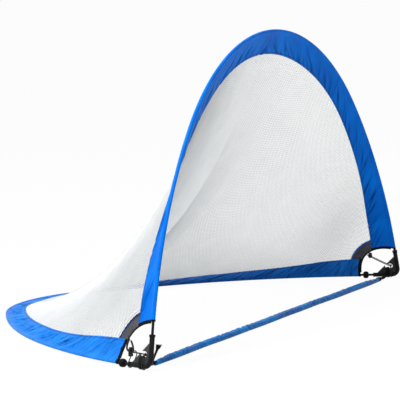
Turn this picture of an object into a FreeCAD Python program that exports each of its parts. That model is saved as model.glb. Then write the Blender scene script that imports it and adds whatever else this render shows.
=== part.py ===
"""Pop-up soccer goal: two flexible rods in fabric sleeves, steel corner elbows, a net and a ground bar.

Millimetres.  +X runs along the mouth, -Y is the players' side, +Z is up.  The origin lies on the
ground, under the middle of the ground bar.  A corner is the point where the centre lines of the
front rod and the rear rod would meet inside the elbow.
"""
import FreeCAD, Part
import functools
import math
import os
from Sketcher import Constraint

Vector = FreeCAD.Vector
X_AXIS = Vector(1, 0, 0)
Y_AXIS = Vector(0, 1, 0)
Z_AXIS = Vector(0, 0, 1)
SIDES = (("left", -1), ("right", 1))

SIZES = (
    ("goal_width", 1829, "between the two corners"),
    ("front_rise", 914, "front arch, along its own plane, above the corners"),
    ("rear_reach", 1006, "rear arch, along its own plane, behind the corners"),
    ("front_lean", 2.3, "front arch leans back, degrees"),
    ("front_base_angle", 14.9, "front rod leans inward at the elbow, degrees"),
    ("front_turn_angle", 42, "where the front side arc becomes the crown arc, degrees"),
    ("rear_base_angle", 18.5, "rear rod leans inward at the elbow, degrees"),
    ("rear_turn_angle", 57.9, "where the rear side arc becomes the back arc, degrees"),
    ("rod_foot", 95, "straight foot of each rod, from the corner"),
    ("rod_diameter", 8, "fibreglass rod"),
    ("rod_height", 13.4, "height of the corners above the ground"),
    ("ferrule_wall", 0.6, "tube that joins two rods"),
    ("ferrule_length", 60, ""),
    ("ferrule_clearance", 0.2, "radial, over the rod"),
    ("elbow_diameter", 15, "steel tube of the corner elbow"),
    ("socket_clearance", 0.25, "radial, rod in elbow"),
    ("socket_depth", 50, "rod in elbow"),
    ("elbow_front_arm", 93, "from the corner to the front mouth"),
    ("elbow_rear_arm", 92, "from the corner to the rear mouth"),
    ("elbow_bend_radius", 22, "centre line"),
    ("collar_diameter", 18, "lip at the front mouth"),
    ("collar_length", 7, ""),
    ("gusset_thickness", 4, ""),
    ("gusset_front_leg", 76, "from the corner, along the front arm"),
    ("gusset_rear_leg", 84, "from the corner, along the rear arm"),
    ("gusset_hole_length", 28, "oval hole, end to end"),
    ("gusset_hole_width", 18, "oval hole, across"),
    ("gusset_hole_out", 34, "hole centre from the front arm's centre line"),
    ("gusset_hole_up", 34, "hole centre from the rear arm's centre line"),
    ("stopper_diameter", 25, "rubber ball on the rear rod"),
    ("stopper_length", 20, ""),
    ("stopper_round", 8, "edge radius"),
    ("stopper_clearance", 0.1, "radial, over the rod"),
    ("stopper_place", 118, "middle, along the rear rod from the corner"),
    ("hinge_rise", 5, "where the front rod starts to bend, above the front mouth"),
    ("hinge_gap", 0.15, "between the bending rod and its tail"),
    ("front_sleeve_start", 122, "along the front rod from the corner"),
    ("rear_sleeve_start", 138, "along the rear rod from the corner"),
    ("pocket_clearance", 1, "radial, rod in the sleeve's pocket"),
    ("pocket_wall", 0.8, ""),
    ("fabric_thickness", 1.6, "two layers and the hem"),
    ("fabric_gap", 0.3, "between neighbouring pieces of fabric"),
    ("front_band", 79, "width of the front sleeve's band"),
    ("rear_band", 71, "width of the rear sleeve's band"),
    ("leg_panel", 745, "front sleeve, from its end to the shoulder seam"),
    ("patch_width", 38, "dark corner patch"),
    ("binding_width", 6, "tape along the fabric's lower edge"),
    ("binding_start", 12, "from the rods' centre lines to the ends of the tape"),
    ("side_sag", 0.0815, "sag over span, on the flanks"),
    ("crown_sag", 0.1474, "sag over span, at the crown"),
    ("sag_skew", -0.288, "below 0: the deepest sag is nearer the rear arch"),
    ("corner_inward", 0.229, "inward bulge over span, at the corners"),
    ("corner_backward", 0.2075, "backward bulge over span, at the corners"),
    ("corner_upward", 0.19, "upward bulge over span, at the corners"),
    ("corner_reach", 0.2015, "how far the bulge reaches, as a share of half the arch"),
    ("bar_setback", 36, "ground bar, behind the corners"),
    ("bar_width", 26, ""),
    ("bar_thickness", 18, ""),
    ("bar_edge_radius", 5, ""),
    ("bar_gap", 76, "from the elbow's rear arm to the end of the bar"),
    ("strap_width", 11.5, "webbing between the elbow and the bar"),
    ("strap_thickness", 6, "two layers"),
    ("strap_ring_wall", 2.5, "webbing round the arm"),
    ("strap_clearance", 0.3, "radial, round the arm"),
    ("tail_width", 9, "loose end of the left strap"),
    ("tail_thickness", 2, ""),
    ("cord_diameter", 3, "tie cord"),
    ("tie_standoff", 1.7, "from the tape to the middle of the cord's end"),
    ("cord_spacing", 3.8, "between the two runs of tie cord"),
    ("wrap_clearance", 0.4, "tie cord round the arm"),
    ("knot_diameter", 11, ""),
    ("knot_forward", 7, "from the middle of the gusset's hole towards the front arm"),
    ("lock_diameter", 14, "barrel of the cord lock"),
    ("lock_length", 20, ""),
    ("lock_floor", 1.5, "closed end of the barrel"),
    ("lock_cord_height", 12, "cord hole above the closed end"),
    ("lock_clearance", 0.25, "round the cords, and round the button"),
    ("button_diameter", 9.6, ""),
    ("button_travel", 4, ""),
    ("button_proud", 5.5, "out of the barrel at rest"),
    ("button_foot", 1.5, "below the button's slot"),
    ("spring_wire", 0.7, ""),
    ("spring_diameter", 7, "outside"),
    ("spring_turns", 4, ""),
)

doc = FreeCAD.newDocument("soccer_goal")
sheet = doc.addObject("Spreadsheet::Sheet", "sizes")
for row, (alias, value, note) in enumerate(SIZES, start=1):
    sheet.set("A%d" % row, alias)
    sheet.set("B%d" % row, str(value))
    sheet.set("C%d" % row, note)
    sheet.setAlias("B%d" % row, alias)
doc.recompute()

nodes = []


def size(alias):
    return float(sheet.get(alias))


def publish(item, label):
    """Give an object its node name and put it on the list of sub-parts."""
    item.Label = label
    nodes.append(item)
    return item


def feature(label, shape, is_node=True):
    """A sub-part whose shape is swept or faceted below, with sizes from the sheet."""
    item = doc.addObject("Part::Feature", label)
    item.Shape = shape
    if is_node:
        publish(item, label)
    return item


def primitive(kind, name, placement=None, **sizes):
    """A Part primitive whose sizes are expressions on the sheet."""
    item = doc.addObject(kind, name)
    for prop, expression in sizes.items():
        item.setExpression(prop, expression)
    if placement:
        item.Placement = placement
    return item


def cut(name, base, tool):
    item = doc.addObject("Part::Cut", name)
    item.Base = base
    item.Tool = tool
    return item


def fuse(name, base, tool):
    item = doc.addObject("Part::Fuse", name)
    item.Base = base
    item.Tool = tool
    return item


def frame_placement(origin, along, across):
    """Placement with its local X along one direction and its local Y towards another."""
    along = Vector(along).normalize()
    normal = along.cross(across).normalize()
    across = normal.cross(along)
    matrix = FreeCAD.Matrix(
        along.x, across.x, normal.x, origin.x,
        along.y, across.y, normal.y, origin.y,
        along.z, across.z, normal.z, origin.z,
        0, 0, 0, 1,
    )
    return FreeCAD.Placement(matrix)


def axis_placement(origin, direction):
    """Placement with its local Z along a direction."""
    return FreeCAD.Placement(origin, FreeCAD.Rotation(Z_AXIS, direction))


def pipe(edges, radius):
    """Round solid along tangent edges."""
    wire = Part.Wire(edges)
    start = edges[0].valueAt(edges[0].FirstParameter)
    heading = edges[0].tangentAt(edges[0].FirstParameter)
    circle = Part.Wire([Part.Circle(start, heading, radius).toShape()])
    return wire.makePipeShell([circle], True, False)


def many_sided_pipe(edges, radius):
    """Solid of twelve flat sides along tangent edges, for sewn cloth round a rod."""
    sides = 12
    start = edges[0].valueAt(edges[0].FirstParameter)
    heading = edges[0].tangentAt(edges[0].FirstParameter)
    first = square_to(Z_AXIS if abs(heading.z) < 0.9 else X_AXIS, heading)
    second = heading.cross(first)
    corners = []
    for number in range(sides):
        angle = 2 * math.pi * number / sides
        corners.append(start + (first * math.cos(angle) + second * math.sin(angle)) * radius)
    outline = Part.makePolygon(corners + corners[:1])
    return Part.Wire(edges).makePipeShell([outline], True, False)


def line_between(start, end):
    return Part.LineSegment(start, end).toShape()


def square_to(direction, axis):
    """The part of a direction that is square to an axis, with length 1."""
    axis = Vector(axis).normalize()
    return (direction - axis * direction.dot(axis)).normalize()


class Arch:
    """Plane arch of a rod: straight feet, side arcs and a crown arc, all tangent, mirrored at x = 0."""

    def __init__(self, width, rise, foot, base_angle, turn_angle, origin, up):
        base = math.radians(base_angle)
        turn = math.radians(turn_angle)
        rise_left = rise - foot * math.cos(base)
        reach_left = width / 2 - foot * math.sin(base)
        side_rise = math.sin(turn) - math.sin(base)
        side_reach = math.cos(base) - math.cos(turn)
        crown_rise = 1 - math.sin(turn)
        crown_reach = math.cos(turn)
        scale = side_rise * crown_reach - crown_rise * side_reach
        self.side_radius = (rise_left * crown_reach - crown_rise * reach_left) / scale
        self.crown_radius = (side_rise * reach_left - side_reach * rise_left) / scale
        self.half_width = width / 2
        self.foot = foot
        self.base = base
        self.turn = turn
        self.origin = origin
        self.up = up
        self.side_end = foot + self.side_radius * (turn - base)
        self.half_length = self.side_end + self.crown_radius * (math.pi / 2 - turn)
        self.length = 2 * self.half_length

    def flat(self, distance):
        """Place on the left half, as x and height in the arch's own plane."""
        x = -self.half_width + distance * math.sin(self.base)
        rise = distance * math.cos(self.base)
        if distance > self.foot:
            angle = self.base + (min(distance, self.side_end) - self.foot) / self.side_radius
            x = -self.half_width + self.foot * math.sin(self.base)
            rise = self.foot * math.cos(self.base)
            x += self.side_radius * (math.cos(self.base) - math.cos(angle))
            rise += self.side_radius * (math.sin(angle) - math.sin(self.base))
        if distance > self.side_end:
            angle = self.turn + (distance - self.side_end) / self.crown_radius
            x += self.crown_radius * (math.cos(self.turn) - math.cos(angle))
            rise += self.crown_radius * (math.sin(angle) - math.sin(self.turn))
        return x, rise

    def at(self, distance):
        """Point at a distance along the arch, from the left corner."""
        x, rise = self.flat(min(distance, self.length - distance))
        if distance > self.half_length:
            x = -x
        return self.origin + X_AXIS * x + self.up * rise

    def heading(self, side):
        """Direction of the straight foot on one side, away from the corner."""
        return X_AXIS * (-side * math.sin(self.base)) + self.up * math.cos(self.base)

    def edges(self, start, end):
        """Tangent edges from one distance to another."""
        breaks = [self.foot, self.side_end, self.length - self.side_end, self.length - self.foot]
        stops = [start] + [place for place in breaks if start < place < end] + [end]
        result = []
        for first, last in zip(stops, stops[1:]):
            middle = (first + last) / 2
            straight = middle < self.foot or middle > self.length - self.foot
            if straight:
                result.append(line_between(self.at(first), self.at(last)))
            else:
                arc = Part.Arc(self.at(first), self.at(middle), self.at(last))
                result.append(arc.toShape())
        return result


rod_radius = size("rod_diameter") / 2
elbow_radius = size("elbow_diameter") / 2
pocket_inner = rod_radius + size("pocket_clearance")
pocket_outer = pocket_inner + size("pocket_wall")
corner_line = Vector(0, -size("bar_setback"), size("rod_height"))
lean = math.radians(size("front_lean"))
rear_slope = math.asin((size("rod_height") - pocket_outer) / size("rear_reach"))
front = Arch(
    size("goal_width"), size("front_rise"), size("rod_foot"),
    size("front_base_angle"), size("front_turn_angle"),
    corner_line, Vector(0, math.sin(lean), math.cos(lean)),
)
rear = Arch(
    size("goal_width"), size("rear_reach"), size("rod_foot"),
    size("rear_base_angle"), size("rear_turn_angle"),
    corner_line, Vector(0, math.cos(rear_slope), -math.sin(rear_slope)),
)


def corner(side):
    return corner_line + X_AXIS * (side * size("goal_width") / 2)


def from_end(arch, side, distance):
    """Distance along the whole arch of a place measured from one side's corner."""
    return distance if side < 0 else arch.length - distance


def span_edges(arch, side, near, far):
    """Edges between two places measured from one side's corner."""
    first = from_end(arch, side, near)
    last = from_end(arch, side, far)
    return arch.edges(min(first, last), max(first, last))


# ---- corner elbows, gussets and collars -------------------------------------------------------

def elbow_edges(side):
    """Centre line of the elbow, from its front mouth round the bend to its rear mouth."""
    point = corner(side)
    up = front.heading(side)
    back = rear.heading(side)
    half_angle = up.getAngle(back) / 2
    tangent = size("elbow_bend_radius") / math.tan(half_angle)
    inward = (up + back).normalize()
    centre = point + inward * (size("elbow_bend_radius") / math.sin(half_angle))
    bend_start = point + up * tangent
    bend_end = point + back * tangent
    bend_middle = centre - inward * size("elbow_bend_radius")
    return [
        line_between(point + up * size("elbow_front_arm"), bend_start),
        Part.Arc(bend_start, bend_middle, bend_end).toShape(),
        line_between(bend_end, point + back * size("elbow_rear_arm")),
    ]


def make_elbow(side, name):
    outside = pipe(elbow_edges(side), elbow_radius)
    bore = pipe(elbow_edges(side), rod_radius + size("socket_clearance"))
    feature("elbow_" + name, outside.cut(bore))
    return feature("elbow_outside_" + name, outside, is_node=False)


def gusset_sketch(body, slant):
    """Plate between the arms, its inner corner cut off along the bend, on the body's XY plane."""
    sketch = body.newObject("Sketcher::SketchObject", body.Name + "_sketch")
    plane = [item for item in body.Origin.OriginFeatures if item.Role == "XY_Plane"][0]
    sketch.AttachmentSupport = [(plane, "")]
    sketch.MapMode = "FlatFace"
    toward_front = (math.cos(slant), math.sin(slant))
    bend_share = 1 / math.tan(slant / 2)
    corners = (
        ("sizes.elbow_bend_radius * %.9f", bend_share, (1, 0)),
        ("sizes.gusset_rear_leg * %.9f", 1, (1, 0)),
        ("sizes.gusset_front_leg * %.9f", 1, toward_front),
        ("sizes.elbow_bend_radius * %.9f", bend_share, toward_front),
    )
    legs = (size("elbow_bend_radius"), size("gusset_rear_leg"), size("gusset_front_leg"))
    lengths = legs + legs[:1]
    points = []
    for (_, share, direction), length in zip(corners, lengths):
        points.append(Vector(*direction, 0) * (share * length))
    for start, end in zip(points, points[1:] + points[:1]):
        sketch.addGeometry(Part.LineSegment(start, end), False)
    for line in range(4):
        sketch.addConstraint(Constraint("Coincident", line, 2, (line + 1) % 4, 1))
    for line, (expression, share, direction) in enumerate(corners):
        for kind, along, value in zip(("DistanceX", "DistanceY"), direction, points[line]):
            index = sketch.addConstraint(Constraint(kind, -1, 1, line, 1, value))
            sketch.setExpression("Constraints[%d]" % index, expression % (share * along))
    return sketch


def oval_sketch(body):
    """The gusset's oval hole, on the body's XY plane."""
    sketch = body.newObject("Sketcher::SketchObject", body.Name + "_oval")
    plane = [item for item in body.Origin.OriginFeatures if item.Role == "XY_Plane"][0]
    sketch.AttachmentSupport = [(plane, "")]
    sketch.MapMode = "FlatFace"
    radius = size("gusset_hole_width") / 2
    reach = size("gusset_hole_length") / 2 - radius
    middle = Vector(size("gusset_hole_out"), size("gusset_hole_up"), 0)
    left = middle - X_AXIS * reach
    right = middle + X_AXIS * reach
    rise = Y_AXIS * radius
    quarter = math.pi / 2
    left_circle = Part.Circle(left, Z_AXIS, radius)
    right_circle = Part.Circle(right, Z_AXIS, radius)
    sketch.addGeometry(Part.ArcOfCircle(left_circle, quarter, 3 * quarter), False)
    sketch.addGeometry(Part.LineSegment(left - rise, right - rise), False)
    sketch.addGeometry(Part.ArcOfCircle(right_circle, -quarter, quarter), False)
    sketch.addGeometry(Part.LineSegment(right + rise, left + rise), False)
    for first, end, second, start in ((0, 2, 1, 1), (1, 2, 2, 1), (2, 2, 3, 1), (3, 2, 0, 1)):
        sketch.addConstraint(Constraint("Tangent", first, end, second, start))
    sketch.addConstraint(Constraint("Horizontal", 1))
    bound = (
        (Constraint("Radius", 0, radius), "sizes.gusset_hole_width / 2"),
        (Constraint("DistanceX", 0, 3, 2, 3, 2 * reach),
         "sizes.gusset_hole_length - sizes.gusset_hole_width"),
        (Constraint("DistanceX", -1, 1, 0, 3, left.x),
         "sizes.gusset_hole_out - (sizes.gusset_hole_length - sizes.gusset_hole_width) / 2"),
        (Constraint("DistanceY", -1, 1, 0, 3, left.y), "sizes.gusset_hole_up"),
    )
    for constraint, expression in bound:
        index = sketch.addConstraint(constraint)
        sketch.setExpression("Constraints[%d]" % index, expression)
    return sketch


def make_gusset(side, name, elbow_outside):
    up = front.heading(side)
    back = rear.heading(side)
    body = doc.addObject("PartDesign::Body", "gusset_plate_" + name)
    pad = body.newObject("PartDesign::Pad", "gusset_pad_" + name)
    pad.Profile = gusset_sketch(body, up.getAngle(back))
    pad.Midplane = True
    pad.setExpression("Length", "sizes.gusset_thickness")
    doc.recompute()
    hole = body.newObject("PartDesign::Pocket", "gusset_hole_" + name)
    hole.Profile = oval_sketch(body)
    hole.Midplane = True
    hole.setExpression("Length", "sizes.gusset_thickness * 2")
    doc.recompute()
    if hole.Shape.Volume >= pad.Shape.Volume:
        raise ValueError("the gusset's hole removed nothing")
    body.Placement = frame_placement(corner(side), back, up)
    publish(cut("gusset_" + name, body, elbow_outside), "gusset_" + name)


def make_collar(side, name):
    start = corner(side) + front.heading(side) * (size("elbow_front_arm") - size("collar_length"))
    place = axis_placement(start, front.heading(side))
    outer = primitive(
        "Part::Cylinder", "collar_outside_" + name, place,
        Radius="sizes.collar_diameter / 2", Height="sizes.collar_length",
    )
    inner = primitive(
        "Part::Cylinder", "collar_inside_" + name, place,
        Radius="sizes.elbow_diameter / 2", Height="sizes.collar_length",
    )
    publish(cut("collar_" + name, outer, inner), "front_collar_" + name)


# ---- rods, ferrules and stoppers --------------------------------------------------------------

hinge_distance = size("elbow_front_arm") + size("hinge_rise")
front_tail_start = size("elbow_front_arm") - size("socket_depth")
rear_rod_start = size("elbow_rear_arm") - size("socket_depth")


def make_rods(side, name):
    tail_top = hinge_distance - rod_radius - size("hinge_gap")
    tail = pipe(span_edges(front, side, front_tail_start, tail_top), rod_radius)
    feature("front_rod_tail_" + name, tail)
    upper = pipe(span_edges(front, side, hinge_distance, front.half_length), rod_radius)
    foot = Part.makeSphere(rod_radius, front.at(from_end(front, side, hinge_distance)))
    feature("front_rod_" + name, upper.fuse(foot).removeSplitter())
    rear_rod = pipe(span_edges(rear, side, rear_rod_start, rear.half_length), rod_radius)
    feature("rear_rod_" + name, rear_rod)


def make_ferrule(arch, label):
    reach = size("ferrule_length") / 2
    path = arch.edges(arch.half_length - reach, arch.half_length + reach)
    bore_radius = rod_radius + size("ferrule_clearance")
    tube = pipe(path, bore_radius + size("ferrule_wall"))
    feature(label, tube.cut(pipe(path, bore_radius)))


def ring_sketch(body, radius_expression, hole_expression):
    """Two circles round the body's origin."""
    sketch = body.newObject("Sketcher::SketchObject", body.Name + "_ring")
    plane = [item for item in body.Origin.OriginFeatures if item.Role == "XY_Plane"][0]
    sketch.AttachmentSupport = [(plane, "")]
    sketch.MapMode = "FlatFace"
    for number, expression in enumerate((radius_expression, hole_expression)):
        sketch.addGeometry(Part.Circle(Vector(), Z_AXIS, 10 - number), False)
        sketch.addConstraint(Constraint("Coincident", number, 3, -1, 1))
        index = sketch.addConstraint(Constraint("Radius", number, 10 - number))
        sketch.setExpression("Constraints[%d]" % index, expression)
    return sketch


def make_stopper(side, name):
    body = doc.addObject("PartDesign::Body", "stopper_body_" + name)
    pad = body.newObject("PartDesign::Pad", "stopper_pad_" + name)
    pad.Profile = ring_sketch(
        body, "sizes.stopper_diameter / 2", "sizes.rod_diameter / 2 + sizes.stopper_clearance",
    )
    pad.Midplane = True
    pad.setExpression("Length", "sizes.stopper_length")
    doc.recompute()
    rims = []
    for number, edge in enumerate(pad.Shape.Edges, start=1):
        round_edge = isinstance(edge.Curve, Part.Circle)
        if round_edge and edge.Curve.Radius > size("stopper_diameter") / 2 - 0.01:
            rims.append("Edge%d" % number)
    fillet = body.newObject("PartDesign::Fillet", "stopper_fillet_" + name)
    fillet.Base = (pad, rims)
    fillet.setExpression("Radius", "sizes.stopper_round")
    place = from_end(rear, side, size("stopper_place"))
    step = 0.5 * side
    ahead = rear.at(place - step)
    heading = ahead - rear.at(place + step)
    body.Placement = axis_placement(rear.at(place), heading)
    publish(body, "stopper_" + name)


# ---- fabric: one surface from the front arch to the rear arch ---------------------------------

def smooth_end(share):
    """1 at the corner, fading to 0 along the arch."""
    return math.exp(-(share / size("corner_reach")) ** 2)


def corner_share(t):
    """0 at either corner, 1 at the crown."""
    return 1 - abs(2 * t - 1)


def chord_ends(t):
    return front.at(t * front.length), rear.at(t * rear.length)


def chord_middle(t):
    first, last = chord_ends(t)
    return (first + last) * 0.5


def fabric_point(t, v):
    """Point of the fabric: t runs along the arches, v from the front rod to the rear rod."""
    first, last = chord_ends(t)
    chord = last - first
    step = 0.002
    sweep = chord_middle(t + step) - chord_middle(t - step)
    outward = sweep.cross(chord).normalize()
    share = corner_share(t)
    fade = smooth_end(share)
    flank = min(max((share - 0.3) / 0.7, 0), 1)
    sag = size("side_sag") + (size("crown_sag") - size("side_sag")) * flank
    hump = 4 * v * (1 - v)
    skewed = hump * (1 + size("sag_skew") * (1 - 2 * v))
    inward = size("corner_inward") if t < 0.5 else -size("corner_inward")
    bulge = Vector(inward, size("corner_backward"), size("corner_upward"))
    shift = bulge * (fade * hump) - outward * (sag * (1 - fade) * skewed)
    return first + chord * v + shift * chord.Length


def fabric_normal(t, v):
    step = 0.004
    along = fabric_point(t + step, v) - fabric_point(t - step, v)
    across = fabric_point(t, v + step) - fabric_point(t, v - step)
    return along.cross(across).normalize()


def share_at_distance(t, distance, from_rear):
    """The v that lies a distance from one rod, measured along the fabric."""
    steps = 240
    travelled = 0
    last = fabric_point(t, 1 if from_rear else 0)
    for number in range(1, steps + 1):
        v = number / steps
        point = fabric_point(t, 1 - v if from_rear else v)
        stride = point.distanceToPoint(last)
        if travelled + stride >= distance:
            v -= (1 - (distance - travelled) / stride) / steps
            return 1 - v if from_rear else v
        travelled += stride
        last = point
    return 0 if from_rear else 1


lower_front = size("front_sleeve_start") / front.length
lower_rear = size("rear_sleeve_start") / rear.length
fabric_run = front.length - 2 * size("front_sleeve_start")


def run_to_t(run, v):
    """t of a line that keeps its share between the fabric's two lower edges."""
    lower = lower_front + (lower_rear - lower_front) * v
    return lower + run * (1 - 2 * lower)


@functools.lru_cache(maxsize=None)
def band_edges(run):
    """v of the inner edges of the front and the rear band."""
    front_edge = share_at_distance(run_to_t(run, 0.2), size("front_band"), False)
    rear_edge = share_at_distance(run_to_t(run, 0.8), size("rear_band"), True)
    return front_edge, rear_edge


patch_run = size("patch_width") / fabric_run
seam_run = size("leg_panel") / fabric_run
binding_run = size("binding_width") / fabric_run
LEG_STEPS = 6
CROWN_STEPS = 12
NET_ROWS = 5


def stations():
    """Shares of the fabric run where neighbouring pieces have their shared corners."""
    leg = [patch_run + (seam_run - patch_run) * n / LEG_STEPS for n in range(LEG_STEPS + 1)]
    crown = [seam_run + (1 - 2 * seam_run) * n / CROWN_STEPS for n in range(1, CROWN_STEPS)]
    return [0] + leg + crown + [1 - run for run in reversed(leg)] + [1]


RUNS = stations()


def runs_between(first, last):
    """Stations of a piece, taken in at both ends by half the gap to its neighbours."""
    margin = 1e-6
    inside = [run for run in RUNS if first + margin < run < last - margin]
    half_gap = size("fabric_gap") / 2 / fabric_run
    return [first + half_gap] + inside + [last - half_gap]


def solid_from_facets(points, facets):
    shell = Part.Shape()
    shell.makeShapeFromMesh((points, facets), 0.0001)
    solid = Part.Solid(Part.Shell(shell.Faces))
    if solid.Volume < 0:
        solid.reverse()
    return solid


def sheet_solid(rows, thickness):
    """Closed faceted solid about rows of (point, normal)."""
    count = len(rows[0])
    half = thickness / 2
    top = [point + normal * half for row in rows for point, normal in row]
    bottom = [point - normal * half for row in rows for point, normal in row]
    offset = len(top)
    facets = []
    for i in range(len(rows) - 1):
        for j in range(count - 1):
            a = i * count + j
            b, c, d = a + count, a + count + 1, a + 1
            facets += [(a, b, c), (a, c, d)]
            facets += [(offset + a, offset + c, offset + b), (offset + a, offset + d, offset + c)]
    last_row = (len(rows) - 1) * count
    rim = list(range(count))
    rim += [(i + 1) * count - 1 for i in range(1, len(rows))]
    rim += [last_row + j for j in range(count - 2, -1, -1)]
    rim += [i * count for i in range(len(rows) - 2, 0, -1)]
    for a, b in zip(rim, rim[1:] + rim[:1]):
        facets += [(a, b, offset + b), (a, offset + b, offset + a)]
    return solid_from_facets(top + bottom, facets)


def fabric_rows(runs, shares_at):
    """Rows of surface points: one row per station, with that station's own v values."""
    rows = []
    for run in runs:
        row = []
        for v in shares_at(run):
            t = run_to_t(run, v)
            row.append((fabric_point(t, v), fabric_normal(t, v)))
        rows.append(row)
    return rows


def net_shares(run):
    """v of the net's rows, clear of both bands."""
    first, last = band_edges(run)
    near_end, far_end = chord_ends(run_to_t(run, 0.5))
    gap = size("fabric_gap") / near_end.distanceToPoint(far_end)
    first += gap
    last -= gap
    return [first + (last - first) * n / NET_ROWS for n in range(NET_ROWS + 1)]


@functools.lru_cache(maxsize=None)
def front_band_shares(run):
    """v across the front band: rod, end of the tape, middle, inner edge."""
    edge = band_edges(run)[0]
    tape = share_at_distance(run_to_t(run, 0), size("binding_start"), False)
    return [0, tape, (tape + edge) / 2, edge]


@functools.lru_cache(maxsize=None)
def rear_band_shares(run):
    """v across the rear band: inner edge, middle, end of the tape, rod."""
    edge = band_edges(run)[1]
    tape = share_at_distance(run_to_t(run, 1), size("binding_start"), True)
    return [edge, (tape + edge) / 2, tape, 1]


def make_sleeve(arch, label, first, last, is_front):
    """Rod pocket and band of one sleeve panel."""
    v_rod = 0 if is_front else 1
    shares = front_band_shares if is_front else rear_band_shares
    runs = runs_between(first, last)
    band = sheet_solid(fabric_rows(runs, shares), size("fabric_thickness"))
    start = run_to_t(runs[0], v_rod) * arch.length
    end = run_to_t(runs[-1], v_rod) * arch.length
    over = 2
    pocket = many_sided_pipe(arch.edges(start, end), pocket_outer)
    bore = many_sided_pipe(arch.edges(start - over, end + over), pocket_inner)
    feature(label, pocket.fuse(band).cut(bore))


def make_sleeves():
    panels = (("left", 0, seam_run), ("middle", seam_run, 1 - seam_run), ("right", 1 - seam_run, 1))
    for name, first, last in panels:
        make_sleeve(front, "front_sleeve_" + name, first, last, True)
        make_sleeve(rear, "rear_sleeve_" + name, first, last, False)


def make_net():
    runs = runs_between(patch_run, 1 - patch_run)
    feature("net", sheet_solid(fabric_rows(runs, net_shares), size("fabric_thickness")))


def make_corner_fabric(side, name):
    ends = (0, patch_run) if side < 0 else (1 - patch_run, 1)
    patch = fabric_rows(runs_between(*ends), net_shares)
    feature("corner_patch_" + name, sheet_solid(patch, size("fabric_thickness")))
    border = 0 if side < 0 else 1
    half_gap = side * size("fabric_gap") / 2 / fabric_run
    inside = border + half_gap
    outside = border + side * binding_run
    values = front_band_shares(border)[1:3] + net_shares(border) + rear_band_shares(border)[1:3]
    tape = fabric_rows([outside, inside], lambda run: values)
    feature("edge_binding_" + name, sheet_solid(tape, size("fabric_thickness")))


# ---- ground bar and its straps ----------------------------------------------------------------

def arm_at_setback(side):
    """Centre of the elbow's rear arm where the ground bar crosses it."""
    heading = rear.heading(side)
    return corner(side) + heading * (size("bar_setback") / heading.y)


def make_ground_bar():
    body = doc.addObject("PartDesign::Body", "ground_bar_body")
    sketch = body.newObject("Sketcher::SketchObject", "ground_bar_section")
    plane = [item for item in body.Origin.OriginFeatures if item.Role == "YZ_Plane"][0]
    sketch.AttachmentSupport = [(plane, "")]
    sketch.MapMode = "FlatFace"
    half = size("bar_width") / 2
    height = size("bar_thickness")
    outline = (Vector(-half, 0, 0), Vector(half, 0, 0), Vector(half, height, 0), Vector(-half, height, 0))
    for start, end in zip(outline, outline[1:] + outline[:1]):
        sketch.addGeometry(Part.LineSegment(start, end), False)
    for first, second in ((0, 1), (1, 2), (2, 3), (3, 0)):
        sketch.addConstraint(Constraint("Coincident", first, 2, second, 1))
    for line, kind in enumerate(("Horizontal", "Vertical", "Horizontal", "Vertical")):
        sketch.addConstraint(Constraint(kind, line))
    bound = (
        (Constraint("DistanceX", 0, 1, 0, 2, 2 * half), "sizes.bar_width"),
        (Constraint("DistanceY", 1, 1, 1, 2, height), "sizes.bar_thickness"),
        (Constraint("DistanceX", 0, 1, -1, 1, half), "sizes.bar_width / 2"),
    )
    for constraint, expression in bound:
        index = sketch.addConstraint(constraint)
        sketch.setExpression("Constraints[%d]" % index, expression)
    sketch.addConstraint(Constraint("PointOnObject", 0, 1, -1))
    pad = body.newObject("PartDesign::Pad", "ground_bar_pad")
    pad.Profile = sketch
    pad.Midplane = True
    pad.Length = 2 * (arm_at_setback(1).x - size("bar_gap"))
    doc.recompute()
    long_edges = []
    for number, edge in enumerate(pad.Shape.Edges, start=1):
        if edge.Length > size("bar_width") * 4:
            long_edges.append("Edge%d" % number)
    fillet = body.newObject("PartDesign::Fillet", "ground_bar_fillet")
    fillet.Base = (pad, long_edges)
    fillet.setExpression("Radius", "sizes.bar_edge_radius")
    publish(body, "ground_bar")
    return pad.Length.Value / 2


def racetrack(centre, heading, up, radius, rise, length):
    """Prism of two half circles and two straight sides, standing on a direction."""
    across = heading.cross(up).normalize()
    top = centre + up * rise
    edges = [
        line_between(centre + across * radius, top + across * radius),
        Part.Arc(top + across * radius, top + up * radius, top - across * radius).toShape(),
        line_between(top - across * radius, centre - across * radius),
        Part.Arc(centre - across * radius, centre - up * radius, centre + across * radius).toShape(),
    ]
    return Part.Face(Part.Wire(edges)).extrude(heading * length)


def make_end_strap(side, name, bar_end):
    """Webbing looped round the elbow's rear arm, through the gusset's hole, and out to the bar."""
    arm = arm_at_setback(side)
    heading = rear.heading(side)
    up = square_to(front.heading(side), heading)
    half = size("strap_width") / 2
    inner = elbow_radius + size("strap_clearance")
    outer = inner + size("strap_ring_wall")
    rise = size("gusset_hole_up") - size("gusset_hole_width") / 2 + 2 - inner
    ring = racetrack(arm - heading * half, heading, up, outer, rise, 2 * half)
    stretch = Part.makeBox(
        abs(arm.x) - bar_end, size("strap_width"), size("strap_thickness"),
        Vector(bar_end if side > 0 else -abs(arm.x), -half,
               (size("bar_thickness") - size("strap_thickness")) / 2),
    )
    over = 10
    bore = racetrack(arm - heading * (half + over), heading, up, inner, rise, 2 * (half + over))
    feature("end_strap_" + name, ring.fuse(stretch).cut(bore).removeSplitter())


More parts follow.
